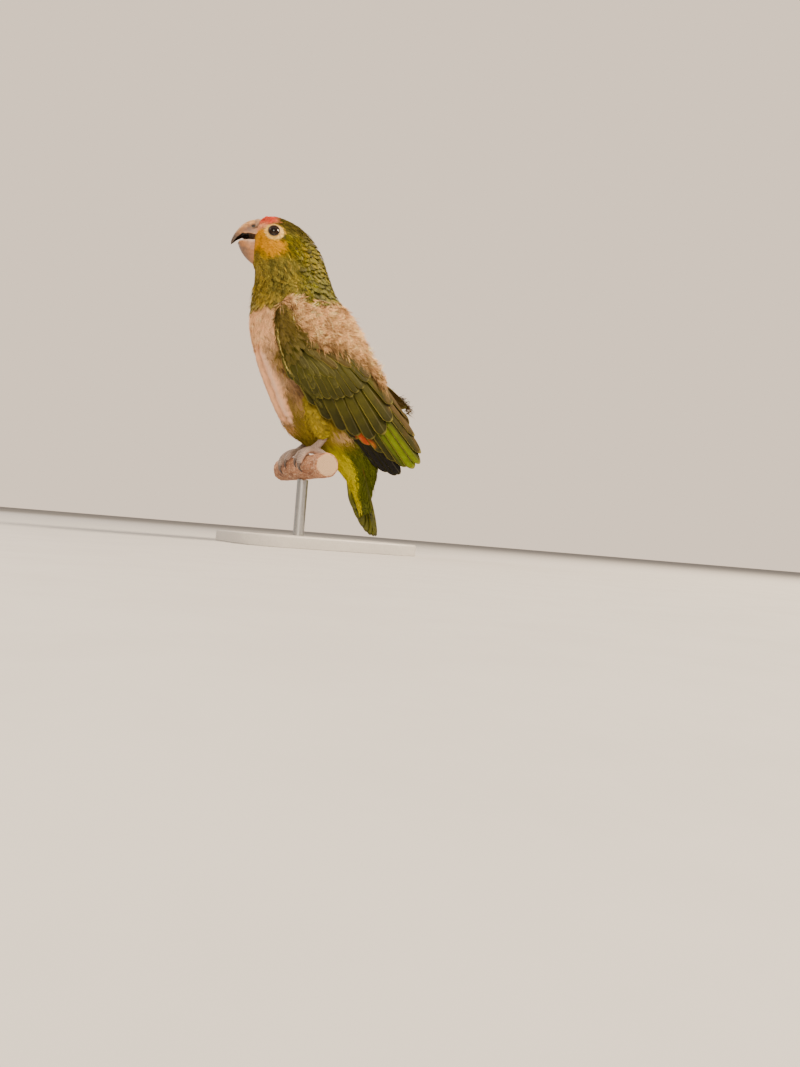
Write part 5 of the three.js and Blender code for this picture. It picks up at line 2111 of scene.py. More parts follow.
@dataclass
class Wing:
    """One folded wing: tiers of long feathers, rows of small coverts over its bend and the pale edge of its front."""

    right: bool = False
    seed: int = 31
    longest: float = 193.0

    @property
    def side(self) -> str:
        """The name of its side."""
        return "right" if self.right else "left"

    def set_up(self, name: str, mesh: Mesh, finish: Finishes, nodes: Sequence[str] = ()) -> None:
        """Puts a left wing's mesh on this wing's side and builds it."""
        mesh = right_wing(mesh) if self.right else mesh
        build(f"{name}_{self.side}", mesh, finish, nodes)

    def colour(self, tier: Tier, shade: Array) -> Callable[[Array, Array, Array], Array]:
        """The rule for the colour over a tier's feathers, each with its own shade.

        Args:
            tier: The tier's numbers.
            shade: The lightness of each feather.

        Returns:
            The rule, of s, t and the share of the length.
        """

        def rule(s: Array, t: Array, share: Array) -> Array:
            """The colour at s and t, share of the way along the feather.

            Args:
                s: Places from the shoulder to the tip.
                t: Places from the belly edge to the back.
                share: The share of the way along each feather.

            Returns:
                Red, green and blue at each place.
            """
            if tier.kind is Kind.PRIMARIES:
                return painted(tier.base, s.shape, (Hue.OLIVE, 0.25 * (1 - smooth(share + 0 * s, 0.5, 0.8)))) * shade
            grain = ripple(on_plane(s, t), 14.0, 40)
            deep = 0.80 if tier.kind is Kind.GREATER_COVERTS else 0.5
            coats = [(Hue.WING_DARK, deep * smooth(share + 0.1 * grain, 0.45, 0.95)),
                     (Hue.WORN, 0.68 * smooth(t + 7 * grain, 2, 16))]
            if tier.kind is Kind.SECONDARIES:
                mirror = 0.85 * smooth(s, 127, 132) * (1 - smooth(s, 146, 154))
                mirror = mirror * smooth(t, -40, -38) * (1 - smooth(t, -33, -28))
                inner = smooth(t, -25, -19) * (1 - smooth(t, -9, 0)) * smooth(s, 132, 150)
                coats += [(Hue.SPECULUM, mirror), (Hue.AMBER, mirror * smooth(s, 143, 151)), (Hue.BRIGHT, 0.85 * inner)]
            if self.right:
                coats.append((Hue.WORN, np.full_like(s, 0.4)))
            return painted(tier.base, s.shape, *coats) * shade

        return rule

    def tier(self, tier: Tier) -> Mesh:
        """The feathers of one tier, each with its own length, shade and depth.

        Args:
            tier: The tier's numbers.

        Returns:
            The feathers of the left wing.
        """
        places = np.linspace(0, 1, tier.count)
        roots, tips = spline(np.array(tier.roots, float), places), spline(np.array(tier.tips, float), places)
        rng = bristle(tier.count, self.seed + self.right)
        jitter = rng.normal(0, 0.9, (tier.count, 2))
        tips = tips + jitter * [1.0, 0.4]
        if self.right:
            tips[:, 0] = np.minimum(tips[:, 0], self.longest + jitter[:, 0])
        run = np.linalg.norm(tips - roots, axis=1)
        step = (tips - roots) / run[:, None]
        c, s = DOME.slant
        way = np.stack([0 * run, s * step[:, 0] + c * step[:, 1], -c * step[:, 0] + s * step[:, 1]], -1)
        p, q = roots.T
        dive = np.maximum(skin_depth(p, q) + 1.2 - tier.depth, 0)
        shade = varied(np.ones((tier.count, 1)), rng, 0.09)[:, None, None]
        rim = varied(painted(tier.edge, p.shape), rng, 0.12)
        quill = Quill(rows=32, columns=11, root=0.42, tip=0.95, sink=0.0, rise=0.0, camber=0.35, fray=0.003,
                      thick=0.45, shaft=0.22)
        return vanes(PLAN, p, q, way, run, np.full(tier.count, tier.width), quill, self.colour(tier, shade), rim,
                     tier.count, lambda s, t: tier.depth + DOME.fall(s, t), tier.tilt, dive)

    def lesser(self) -> None:
        """Small soft feathers on the bend of the wing, then narrow ones that grow longer down the wing."""
        rng = bristle(7, self.seed + self.right)
        s, t = np.meshgrid(np.arange(-8, 58, 3.3), np.arange(-48, 16, 3.1), indexing="ij")
        t = t + 1.55 * (np.arange(s.shape[0]) % 2)[:, None]
        s, t = s.ravel() + rng.uniform(-1.2, 1.2, s.size), t.ravel() + rng.uniform(-0.7, 0.7, s.size)
        keep = (t > DOME.front(s) + 1.0) & (t < border(s) + 2.0 * rng.normal(size=s.size) - 0.5)
        keep &= rng.uniform(size=s.size) > 0.80 * smooth(s, 16, 46)
        s, t = s[keep], t[keep]
        way = DOME.towards(s, t, 0.5, 0.5 * (-0.62 + 0.020 * (t - DOME.front(s)) + 0.004 * s))
        far = smooth(s, 10, 50)
        tint = painted(Hue.WING, s.shape, (Hue.SHOULDER, 1 - smooth(s, 16, 36)),
                       (Hue.WORN, 0.6 * smooth(t - border(s), -10, 0) * far))
        tint = varied(tint, rng, 0.12)
        rim = tint * 0.9 + Hue.WING_EDGE.rgb * (0.05 + 0.60 * far[:, None])
        length, width = 8.5 + 22 * far, 4.2 + 2.8 * far
        for name, k, rows, finish in (("bend_feathers", far < 0.25, 7, Finishes.CONTOUR),
                                      ("lesser_coverts", far >= 0.25, 12, Finishes.FLIGHT)):
            quill = Quill(rows=rows, columns=7, tip=1.9, sink=1.8, rise=0.45, camber=0.5, fray=0.03)
            mesh = vanes(DOME, s[k], t[k], way[k], length[k], width[k], quill, tint[k], rim[k], 41, DOME.fall, dive=1.5)
            self.set_up(name, mesh, finish)
        fluff = Fluff(strands=9, length=7.5, width=0.30, spread=0.20, stand=0.10, curl=0.16)
        s, t, way, tint = (values[far < 0.7] for values in (s, t, way, tint))
        mesh = down(DOME, s, t, way, fluff, tint * 1.35, tint * 0.7, 44, DOME.fall(s, t) - 0.25)
        self.set_up("bend_barbs", mesh, Finishes.DOWN)

    def shoulder(self) -> None:
        """Soft tufts all round the shoulder end of the wing's flesh, cream where the down of the back begins."""
        rng = bristle(12, self.seed + self.right)
        form = PadForm()
        p, q = rows_on(form, 34, 2.8, (-0.99, -0.42), rng)
        form.face_out(p, q)
        s, t = form.place(p, q)
        tint = varied(painted(Hue.SHOULDER.rgb * 1.15, p.shape, (Hue.DOWN, smooth(t - border(s), -3, 2))), rng, 0.16)
        fluff = Fluff(strands=9, length=7.5, width=0.36, spread=0.34, stand=0.40, curl=0.4, clump=0.2)
        mesh = down(form, p, q, form.basis(p, q)[1], fluff, tint, tint * 0.5, 46, 0.3)
        self.set_up("shoulder_tufts", mesh, Finishes.DOWN)

    def lining(self) -> None:
        """Soft feathers round the front edge and over the side towards the body."""
        rng = bristle(9, self.seed + self.right)
        form = PadForm()
        p, q = rows_on(form, 26, 5.0, (-0.97, 0.93), rng, (2.3, 5.9))
        form.face_out(p, q)
        edge = (np.abs(q - np.pi) < 0.7).astype(float)
        tint = varied(painted(Hue.RUMP.rgb * 1.3, p.shape, (Hue.SHOULDER, edge)), rng, 0.14)
        size = 0.7 + 0.5 * smooth(p, -0.9, 0.2)
        quill = Quill(rows=7, sink=1.5, rise=0.7, fray=0.10)
        mesh = vanes(form, p, q, form.basis(p, q)[1], 12.0 * size, 7.0 * size, quill, tint, tint * 1.2, 43)
        self.set_up("lining_feathers", mesh, Finishes.CONTOUR)

    def worn(self) -> None:
        """The brown, frayed and curled ends of feathers along the right wing's back edge."""
        rng = bristle(10, self.seed)
        s = np.concatenate([rng.normal(126, 5, 12), rng.normal(162, 8, 24)])
        t = np.interp(s, [110, 150, 165, 180, 192], [31, 31, 28, 20, 12]) + rng.uniform(-3.5, 0, s.size)
        way = DOME.towards(s, t, 1.0, rng.normal(0.5, 0.4, s.size))
        tint = varied(painted(Hue.WORN.rgb * 1.3, s.shape), rng, 0.25)
        fluff = Fluff(strands=5, length=8.5, width=0.6, spread=0.30, stand=0.16, curl=1.0, clump=0.4)
        depth = np.interp(s, [125, 142], [2.0, 4.3])
        self.set_up("worn_ends", down(DOME, s, t, way, fluff, tint, tint * 0.6, 45, depth), Finishes.DOWN)

    def leading(self, count: int = 44) -> None:
        """Narrow feathers along the front edge, the first ones pale yellow.

        Args:
            count: How many feathers there are.
        """
        rng = bristle(8, self.seed + self.right)
        s = np.linspace(3, 66, count) + rng.uniform(-0.6, 0.6, count)
        front = DOME.front(s)
        way = DOME.towards(s, front, 0.5, 0.5 * np.interp(s, [0, 20, 45, 70], [-1.3, -0.72, -0.28, -0.1]))
        yellow = smooth(s, 5, 10) * (1 - smooth(s, 28, 40))
        tint = varied(painted(Hue.WING, s.shape, (Hue.LEADING, 0.85 * yellow)), rng, 0.12)
        quill = Quill(rows=10, columns=7, tip=1.6, sink=1.4, rise=0.3, fray=0.05, thick=0.2)
        length, width = np.interp(s, [0, 30, 70], [8, 13, 22]), np.interp(s, [0, 30, 60], [1.2, 1.4, 3.4])
        rim = tint * 0.7 + Hue.WING_EDGE.rgb * 0.3
        mesh = vanes(DOME, s, front + 0.9, way, length, width, quill, tint, rim, 42,
                     lambda s, t: DOME.fall(s, t) - 0.2, dive=1.5)
        self.set_up("leading_feathers", mesh, Finishes.FLIGHT)

    def dress(self) -> None:
        """Builds the wing."""
        tiers = Mesh.joined([self.tier(tier) for tier in TIERS])
        self.set_up("wing_feathers", tiers, Finishes.FLIGHT, (f"wing_{self.side}",))
        for part in (self.lesser, self.leading, self.lining, self.shoulder, *([self.worn] if self.right else [])):
            part()


@dataclass
class Tail:
    """The short square tail: twelve vanes, the middle pair on top, and its coverts above and below."""

    pairs: int = 6
    width: float = 15.5
    seed: int = 51
    covered: float = 13.0
    covert_rows: float = 4.6
    covert_columns: float = 3.6

    def feathers(self) -> Mesh:
        """The twelve long vanes, fanned by the same rule as the solids.

        Returns:
            The vanes.
        """
        form = TailForm()
        count = 2 * self.pairs
        rank = np.repeat(np.arange(self.pairs), 2).astype(float)
        hand = np.tile([1.0, -1.0], self.pairs)
        start = hand * 1.3 * (rank + 0.5)
        fan = np.radians(1.85 + 0.35 * (hand > 0)) * (rank + 0.5) * hand
        length = math.dist(form.root, form.tip) - 1.05 * rank**2
        ay, az = form.aim
        way = np.stack([np.sin(fan), ay * np.cos(fan), az * np.cos(fan)], -1)
        rng = bristle(count, self.seed)
        shade = varied(np.ones((count, 1)), rng, 0.08)[:, None, None]
        outer = (rank >= 3).astype(float)[:, None, None]

        def rule(p: Array, q: Array, share: Array) -> Array:
            """Green, darker towards the root, with a paler band before the tip.

            Args:
                p: Places along the form.
                q: Places across it; not used.
                share: The share of the way along each vane.

            Returns:
                Red, green and blue at each place.
            """
            share = share + 0 * p
            return shade * painted(
                Hue.TAIL, p.shape, (Hue.TAIL_DARK, 0.45 * (1 - smooth(share, 0.15, 0.5))),
                (Hue.TAIL_EDGE, 0.5 * smooth(share, 0.80, 0.97)),
                (Hue.SPECULUM, 0.30 * outer * (1 - smooth(share, 0.35, 0.6))))

        quill = Quill(rows=34, columns=9, tip=1.7, sink=0.0, rise=0.0, camber=0.35, fray=0.003, thick=0.5, shaft=0.25)
        rim = varied(painted(Hue.TAIL_DARK, rank.shape), rng, 0.1)
        mesh = vanes(form, np.zeros(count), start, way, length, np.full(count, self.width), quill, rule, rim,
                     count, -(2.4 - 0.95 * (rank + 0.5)), -0.09 * hand)
        below = slice(len(mesh.points) // 2, None)
        points, along = mesh.points[below], mesh.vane[below, 1]
        yellow = smooth(-points[:, 0], -4.0, 2.0) * (1 - smooth(along + 0.03 * ripple(points, 6.0, 52), 0.60, 0.92))
        mesh.tint[below] = painted(mesh.tint[below], along.shape, (Hue.UNDER_TAIL.rgb * 0.8, 0.9 * yellow))
        return mesh

    def coverts(self, hand: float) -> Mesh:
        """Rows of softer feathers over the root of the tail, above or below.

        Args:
            hand: 1 for the upper side, -1 for the lower side.

        Returns:
            The feathers.
        """
        form = TailForm(hand=hand)
        rng = bristle(int(13 + hand), self.seed)
        under = hand < 0
        rows = np.arange(-6, 47 if under else 28, self.covert_rows)
        p, q = np.meshgrid(rows, np.arange(-self.covered, self.covered + 0.1, self.covert_columns), indexing="ij")
        q = q + 1.8 * (np.arange(q.shape[0]) % 2)[:, None]
        p, q = p.ravel() + rng.uniform(-1.2, 1.2, p.size), q.ravel() + rng.uniform(-0.8, 0.8, q.size)
        keep = np.abs(q) < self.covered - (0.05 if under else 0.08) * np.maximum(p, 0)
        p, q = p[keep], q[keep]
        way = form.at(p + 1, q * 1.012) - form.at(p, q)
        tint = varied(painted(Hue.UNDER_TAIL if under else Hue.RUMP, p.shape), rng, 0.14)
        if under:
            tint = painted(tint, p.shape, (Hue.TAIL_EDGE, 0.5 * smooth(p, 26, 46)), (Hue.RUMP, smooth(q, 2.0, 5.0)))
        thick = (8.2 if under else 7.2) - (0.085 if under else 0.12) * np.maximum(p, 0)
        quill = Quill(rows=9, columns=7, root=0.45, sink=1.4, rise=0.4, camber=0.9, fray=0.12, curl=0.4)
        return vanes(form, p, q, way, 17 + 0.10 * np.maximum(p, 0), np.full(len(p), 10.0), quill, tint,
                     tint * 1.3 + 0.01, 14, -thick + 0.012 * q**2)

    def dress(self) -> None:
        """Builds the tail."""
        build("tail_feathers", self.feathers(), Finishes.FLIGHT, ("tail",))
        coverts = Mesh.joined([self.coverts(1.0), self.coverts(-1.0)])
        build("tail_coverts", coverts, Finishes.CONTOUR)


# ---------------------------------------------------------------- head parts


@dataclass
class Bill:
    """Both halves of the bill, the cere over its root and the tongue between them."""

    upper: Array = field(default_factory=lambda: np.array([
        [-56, 267.5, -56, 284.5, 10], [-62, 267.8, -63.5, 284.4, 10.2], [-68.5, 268.6, -70, 282.4, 9.3],
        [-73, 268.6, -75.6, 278.4, 7.8], [-76.8, 267.4, -80, 272.8, 5.9], [-79.8, 265, -83, 267.4, 3.9],
        [-82.2, 261.9, -84.5, 262.8, 2.1],
    ], float))
    upper_tip: tuple[float, float] = (-84.4, 259.4)
    lower: Array = field(default_factory=lambda: np.array([
        [-57, 248, -56, 264.6, 9], [-63.5, 246, -63, 264.6, 9.8], [-69, 249, -69, 264, 9.2],
        [-73.6, 253.4, -74, 263.4, 7.6], [-76.7, 258, -77.3, 262.8, 5],
    ], float))
    lower_tip: tuple[float, float] = (-78.8, 261.6)
    nostril: tuple[float, float] = (-66.6, 275.6)
    upper_root: tuple[float, float] = (-54.0, 276.0)
    lower_root: tuple[float, float] = (-55.0, 256.0)
    cere_root: tuple[float, float] = (-54.0, 277.0)
    cere_reach: float = 0.36
    tongue_root: tuple[float, float] = (-61.5, 264.9)
    tongue_size: tuple[float, float, float] = (4.7, 11.0, 2.6)

    @staticmethod
    def profile(sides: int) -> tuple[Array, Array, Array]:
        """One half's section: its width, its height between the ribs' two points, and how far it is under the edge.

        From the ridge the side goes as a quarter oval to the cutting edge; behind the edge the section rises
        again to the palate.

        Args:
            sides: Points round the section.

        Returns:
            The width as a share of the half width, the height as a share, and the palate's share of the width.
        """
        k = np.arange(sides) / sides
        t = np.abs(2 * k - 1)
        outer = np.clip(t / 0.66, 0, 1)
        inner = np.clip((t - 0.66) / 0.34, 0, 1)
        sign = np.where(k > 0.5, 1.0, -1.0)
        wide = np.sin(np.pi / 2 * outer) ** 0.82 * (1 - 0.05 * outer**4) * np.cos(np.pi / 2 * inner**0.9)
        return sign * wide, np.cos(np.pi / 2 * outer) ** 1.05, np.sin(np.pi / 2 * inner) ** 0.8

    def half(self, ribs: Array, ridge_up: bool, swell: Callable[[Array, Array], Array] | None = None,
             rows: int = 70, sides: int = 84, reach: float = 1.0) -> tuple[Array, Array, Array, Array]:
        """The rings of one half of the bill on the unturned head.

        Args:
            ribs: Its ribs from base to tip.
            ridge_up: Whether the ridge is above and the hollow below.
            swell: How far the surface is pushed out at a ring's share and the section's height.
            rows: How many rings there are.
            sides: Points in a ring.
            reach: How far along the ribs the last ring lies.

        Returns:
            The rings, the ring shares, the section heights and the hollow's share.
        """
        u = (1 - (1 - np.linspace(0, 1, rows)) ** 1.35) * reach
        yb, zb, yt, zt, half = (spline(ribs, u)[:, k][:, None] for k in range(5))
        if not ridge_up:
            yb, zb, yt, zt = yt, zt, yb, zb
        x, up, hollow = (value[None] for value in self.profile(sides))
        high = np.hypot(yt - yb, zt - zb)
        rise = up + hollow * (0.95 * half / high) * (0.62 if ridge_up else 0.8)
        out = np.zeros_like(half * up) if swell is None else swell(u[:, None] + 0 * up, up + 0 * half)
        rise = rise + out * up / high
        rings = np.stack([(half + out) * x, yb + (yt - yb) * rise, zb + (zt - zb) * rise], -1)
        return rings, u[:, None] + 0 * x, up + 0 * half, hollow + 0 * half

    def hole(self, points: Array) -> Array:
        """How far points lie from the middle of the nostril, seen from the side."""
        return np.hypot(points[..., 1] - self.nostril[0], points[..., 2] - self.nostril[1])

    @staticmethod
    def closed(rings: Array, start: Sequence[float], end: Sequence[float], tint: Array) -> Mesh:
        """The rings with both poles, turned with the head."""
        return tube(TURN.apply(rings), TURN.apply(np.array(start)), TURN.apply(np.array(end)), tint)

    def upper_half(self) -> Mesh:
        """The hooked upper half: horn that is cream along the ridge, grey on the sides and black at the tip.

        Returns:
            The upper half.
        """
        rings, u, up, hollow = self.half(self.upper, True)
        layers = 0.10 * ripple(rings * [0.6, 1.0, 1.0], 2.6, 61) + 0.16 * ripple(rings, 6.0, 62)
        edge = (1 - hollow) * smooth(u, 0.02, 0.1)
        rings = rings + rings * [1, 0, 0] * (0.012 * layers * edge)[..., None]
        rings[..., 2] += bell(u, 0.60, 0.05) * (up < 0.12) * 0.7 - 0.35 * bell(u, 0.48, 0.06) * (up < 0.12)
        grain = ripple(rings, 4.5, 63)
        fine = ripple(rings * [1.0, 1.0, 0.45], 1.5, 68)
        grey = np.exp(-(((u - 0.42) / 0.16) ** 2 + ((up - 0.28) / 0.20) ** 2)) * (0.7 + 0.4 * fine)
        # Painted shade in the hollow at the rear of the upper half, by the gape.
        dark = np.exp(-(((u - 0.35) / 0.075) ** 2 + ((up - 0.30) / 0.20) ** 2)) * (0.8 + 0.3 * grain)
        tint = painted(Hue.HORN, u.shape, (Hue.HORN_RIDGE, smooth(up + 0.16 * grain, 0.50, 0.88)),
                       (Hue.HORN_GREY, 0.85 * grey), (Hue.HORN_GAPE_SHADE, 0.85 * dark))
        tint = painted(tint * (1 + 0.10 * fine)[..., None], u.shape,
                       (Hue.HORN_TIP, 0.95 * smooth(u + 0.05 * grain + 0.10 * (1 - up), 0.60, 0.92)),
                       # Painted shade in the nostril.
                       (Hue.NOSTRIL_SHADE, 1 - smooth(self.hole(rings), 1.5, 2.1)),
                       # Painted shade inside the hollow of the upper half.
                       (Hue.HORN_HOLLOW_SHADE, smooth(hollow, 0.06, 0.30)))
        return self.closed(rings, (0.0, *self.upper_root), (0.0, *self.upper_tip), tint)

    def lower_half(self) -> Mesh:
        """The scoop-shaped lower half, hollow on top, with a blunt cutting edge in front.

        Returns:
            The lower half.
        """
        rings, u, up, hollow = self.half(self.lower, False, rows=50)
        grain = ripple(rings, 4.0, 64)
        rings = rings + rings * [1, 0, 0] * (0.010 * grain * (1 - hollow))[..., None]
        fine = ripple(rings * [1.0, 1.0, 0.5], 1.6, 69)
        grey = 0.8 * smooth(up + 0.22 * grain, 0.15, 0.8) * smooth(u + 0.1 * fine, 0.15, 0.7)
        tint = painted(Hue.JAW, u.shape, (Hue.JAW_GREY, grey)) * (1 + 0.11 * fine)[..., None]
        tint = painted(tint, u.shape, (Hue.JAW_EDGE, 0.8 * (1 - smooth(up, 0.02, 0.2))),
                       # Painted shade inside the hollow of the lower half.
                       (Hue.JAW_HOLLOW_SHADE, smooth(hollow, 0.10, 0.40)))
        return self.closed(rings, (0.0, *self.lower_root), (0.0, *self.lower_tip), tint)

    def cere(self) -> Mesh:
        """The bare swollen skin over the root of the upper half, with a nostril on each side.

        Returns:
            The cere.
        """

        def swell(u: Array, up: Array) -> Array:
            """Thick near the feathers, and level with the horn towards the front and the cutting edge."""
            front = 0.30 + 0.05 * np.cos(np.pi * up)
            return 1.15 * (1 - smooth(u, front - 0.10, front)) * smooth(up, 0.30, 0.48) - 0.35

        rings, u, up, hollow = self.half(self.upper, True, swell, 90, 150, self.cere_reach)
        rings = rings + 0.10 * ripple(rings, 1.7, 65)[..., None] * unit(rings - np.array([0.0, -62.0, 274.0]))
        far = self.hole(rings)
        side = (np.abs(rings[..., 0]) > 3.5) & (hollow < 0.05)
        rim = 0.55 * bell(far, 2.3, 0.7) - 1.7 * (1 - smooth(far, 0.9, 1.9))
        rings[..., 0] += np.sign(rings[..., 0]) * np.where(side, rim, 0.0)
        tint = painted(Hue.CERE, u.shape, (Hue.CERE_LOW, 0.7 * (1 - smooth(up, 0.45, 0.8))),
                       (Hue.CERE_GREY, 0.5 * smooth(ripple(rings, 3.0, 66), -0.3, 0.8)),
                       (Hue.CERE_TOP, 0.6 * smooth(up, 0.75, 0.95)),
                       # Painted shade in the nostril's opening in the cere.
                       (Hue.CERE_HOLE_SHADE, np.where(side, 1 - smooth(far, 1.1, 1.8), 0.0)))
        return self.closed(rings, (0.0, *self.cere_root), rings[-1].mean(0), tint)

    def tongue(self) -> Mesh:
        """The thick black tongue, blunt in front with a hollow on its tip.

        Returns:
            The tongue.
        """
        u, a = np.linspace(0, 1, 30)[:, None], around(40)[None]
        size = np.sqrt(np.clip(1 - smooth(u, 0.55, 1.0) ** 2 * 0.9, 0.05, 1))
        wide, long, high = self.tongue_size
        x = wide * size * np.cos(a)
        z = self.tongue_root[1] + high * size * np.sin(a) * (0.65 + 0.35 * np.sin(a))
        z = z - 0.5 * bell(x, 0, 1.6) * (np.sin(a) > 0) * smooth(u, 0.4, 0.9)
        rings = np.stack([x, self.tongue_root[0] - long * u + 0 * a, z + 1.2 * smooth(u, 0.3, 1.0) - 0.4], -1)
        rings = rings + 0.08 * ripple(rings, 1.2, 67)[..., None]
        return self.closed(rings, rings[0].mean(0), rings[-1].mean(0) + [0, -0.5, 0], painted(Hue.TONGUE, x.shape))

    def dress(self) -> None:
        """Builds the four pieces."""
        build("bill_upper_horn", self.upper_half(), Finishes.BILL, ("bill_upper",))
        build("bill_lower_horn", self.lower_half(), Finishes.BILL, ("bill_lower",))
        build("cere_skin", self.cere(), Finishes.CERE, ("cere",))
        build("tongue_skin", self.tongue(), Finishes.TONGUE, ("tongue",))


@dataclass
class Eyes:
    """Both eyeballs and the lids round them; sizes are radii round the line of sight."""

    pupil: float = 2.5
    iris: float = 3.9
    cornea: float = 0.55
    lid: float = 5.02
    lid_rise: float = 5.10
    fold: tuple[float, float] = (0.72, 0.62)

    @staticmethod
    def spokes(turn: Array) -> Array:
        """The directions beside the line of sight, at an angle round it."""
        side = unit(np.cross(EYE.way, [0.0, 0.0, 1.0]))
        return np.cos(turn)[..., None] * side + np.sin(turn)[..., None] * np.cross(side, EYE.way)

    def eyeball(self) -> Mesh:
        """A ball with the cornea's bulge; the pupil is black and the iris dark brown, as in a young bird.

        Returns:
            The left eyeball on the unturned head.
        """
        theta = np.linspace(0, np.pi, 72)[1:-1, None]
        turn = np.linspace(0, 2 * np.pi, 72, endpoint=False)[None]
        top = EYE.radius - 0.15
        radius = top + self.cornea * bell(np.degrees(theta), 0, 26)
        spoke = np.sin(theta)[..., None] * self.spokes(turn)
        rings = EYE.middle + radius[..., None] * (np.cos(theta)[..., None] * EYE.way + spoke)
        off = radius * np.sin(theta) + 0 * turn
        front = (theta < np.pi / 2) + 0 * turn
        ray = 1 + 0.25 * np.sin(turn * 46 + 2.0 * np.sin(turn * 7)) * smooth(off, 2.2, 3.4)
        brown = smooth(off, self.pupil - 0.1, self.pupil + 0.15) * (1 - smooth(off, self.iris - 0.5, self.iris)) * front
        tint = painted(Hue.PUPIL, off.shape, (Hue.IRIS, brown)) * np.where(brown > 0, ray, 1.0)[..., None]
        poles = EYE.middle + EYE.way * (top + self.cornea), EYE.middle - EYE.way * EYE.radius
        return tube(rings, *poles, np.clip(tint, 0, 1))

    def lids(self, count: int = 180, sides: int = 18) -> Mesh:
        """A dark beaded rim on the ball, and a wrinkled pale fold outside it.

        Args:
            count: Rings round the eye.
            sides: Points in a ring.

        Returns:
            The left eye's lids, closed in both directions.
        """
        turn = np.linspace(0, 2 * np.pi, count, endpoint=False)[:, None]
        ring = np.linspace(0, 2 * np.pi, sides, endpoint=False)[None]
        beads = 1 + 0.10 * np.sin(turn * 44) + 0.05 * np.sin(turn * 17 + 1)
        oval = 1 - 0.035 * np.cos(2 * turn + 0.5)
        out = self.lid * oval + self.fold[0] * beads * np.cos(ring)
        rise = self.lid_rise - 0.28 * (out - 4.6) + self.fold[1] * beads * np.sin(ring)
        points = EYE.middle + out[..., None] * self.spokes(turn) + rise[..., None] * EYE.way
        fold = smooth(np.cos(ring) + 0.12 * np.sin(turn * 44), 0.25, 0.85)
        tint = painted(Hue.LID, out.shape, (Hue.EYE_RING.rgb * 0.8, fold))
        j, last = np.arange(sides), (count - 1) * sides
        seam = np.stack([last + j, last + (j + 1) % sides, (j + 1) % sides, j], -1)
        bake = np.stack(np.meshgrid(np.arange(count) / count, j / sides, indexing="ij"), -1).reshape(-1, 2)
        faces = np.concatenate([grid_faces(count, sides, True), seam])
        mesh = Mesh(points.reshape(-1, 3), faces, bake=bake, tint=tint.reshape(-1, 3))
        return mesh if volume(mesh) > 0 else replace(mesh, faces=turned_faces(mesh.faces))

    def dress(self) -> None:
        """Builds both eyes; the lids are one piece."""
        ball, lids = self.eyeball(), self.lids()
        for side, mesh in (("left", ball), ("right", ball.mirrored())):
            turned = replace(mesh, points=TURN.apply(mesh.points))
            build(f"eyeball_{side}", turned, Finishes.EYE, (f"eye_{side}",))
        both = Mesh.joined([lids, lids.mirrored()])
        build("eyelids", replace(both, points=TURN.apply(both.points)), Finishes.LIDS)


# ---------------------------------------------------------------- feet


@dataclass(frozen=True)
class Toe:
    """One toe: its way and reach round the perch, its step aside, its two radii and how many plates it has."""

    number: int
    aim: float
    reach: float
    step: float
    base: float
    end: float
    plates: int = 12


TOES = (Toe(1, 1, 46, -4.5, 3.3, 2.5), Toe(2, -1, 66, -6.0, 3.4, 2.5), Toe(3, -1, 86, 5.5, 3.5, 2.6, 15),
        Toe(4, 1, 74, 6.5, 3.4, 2.5, 15))


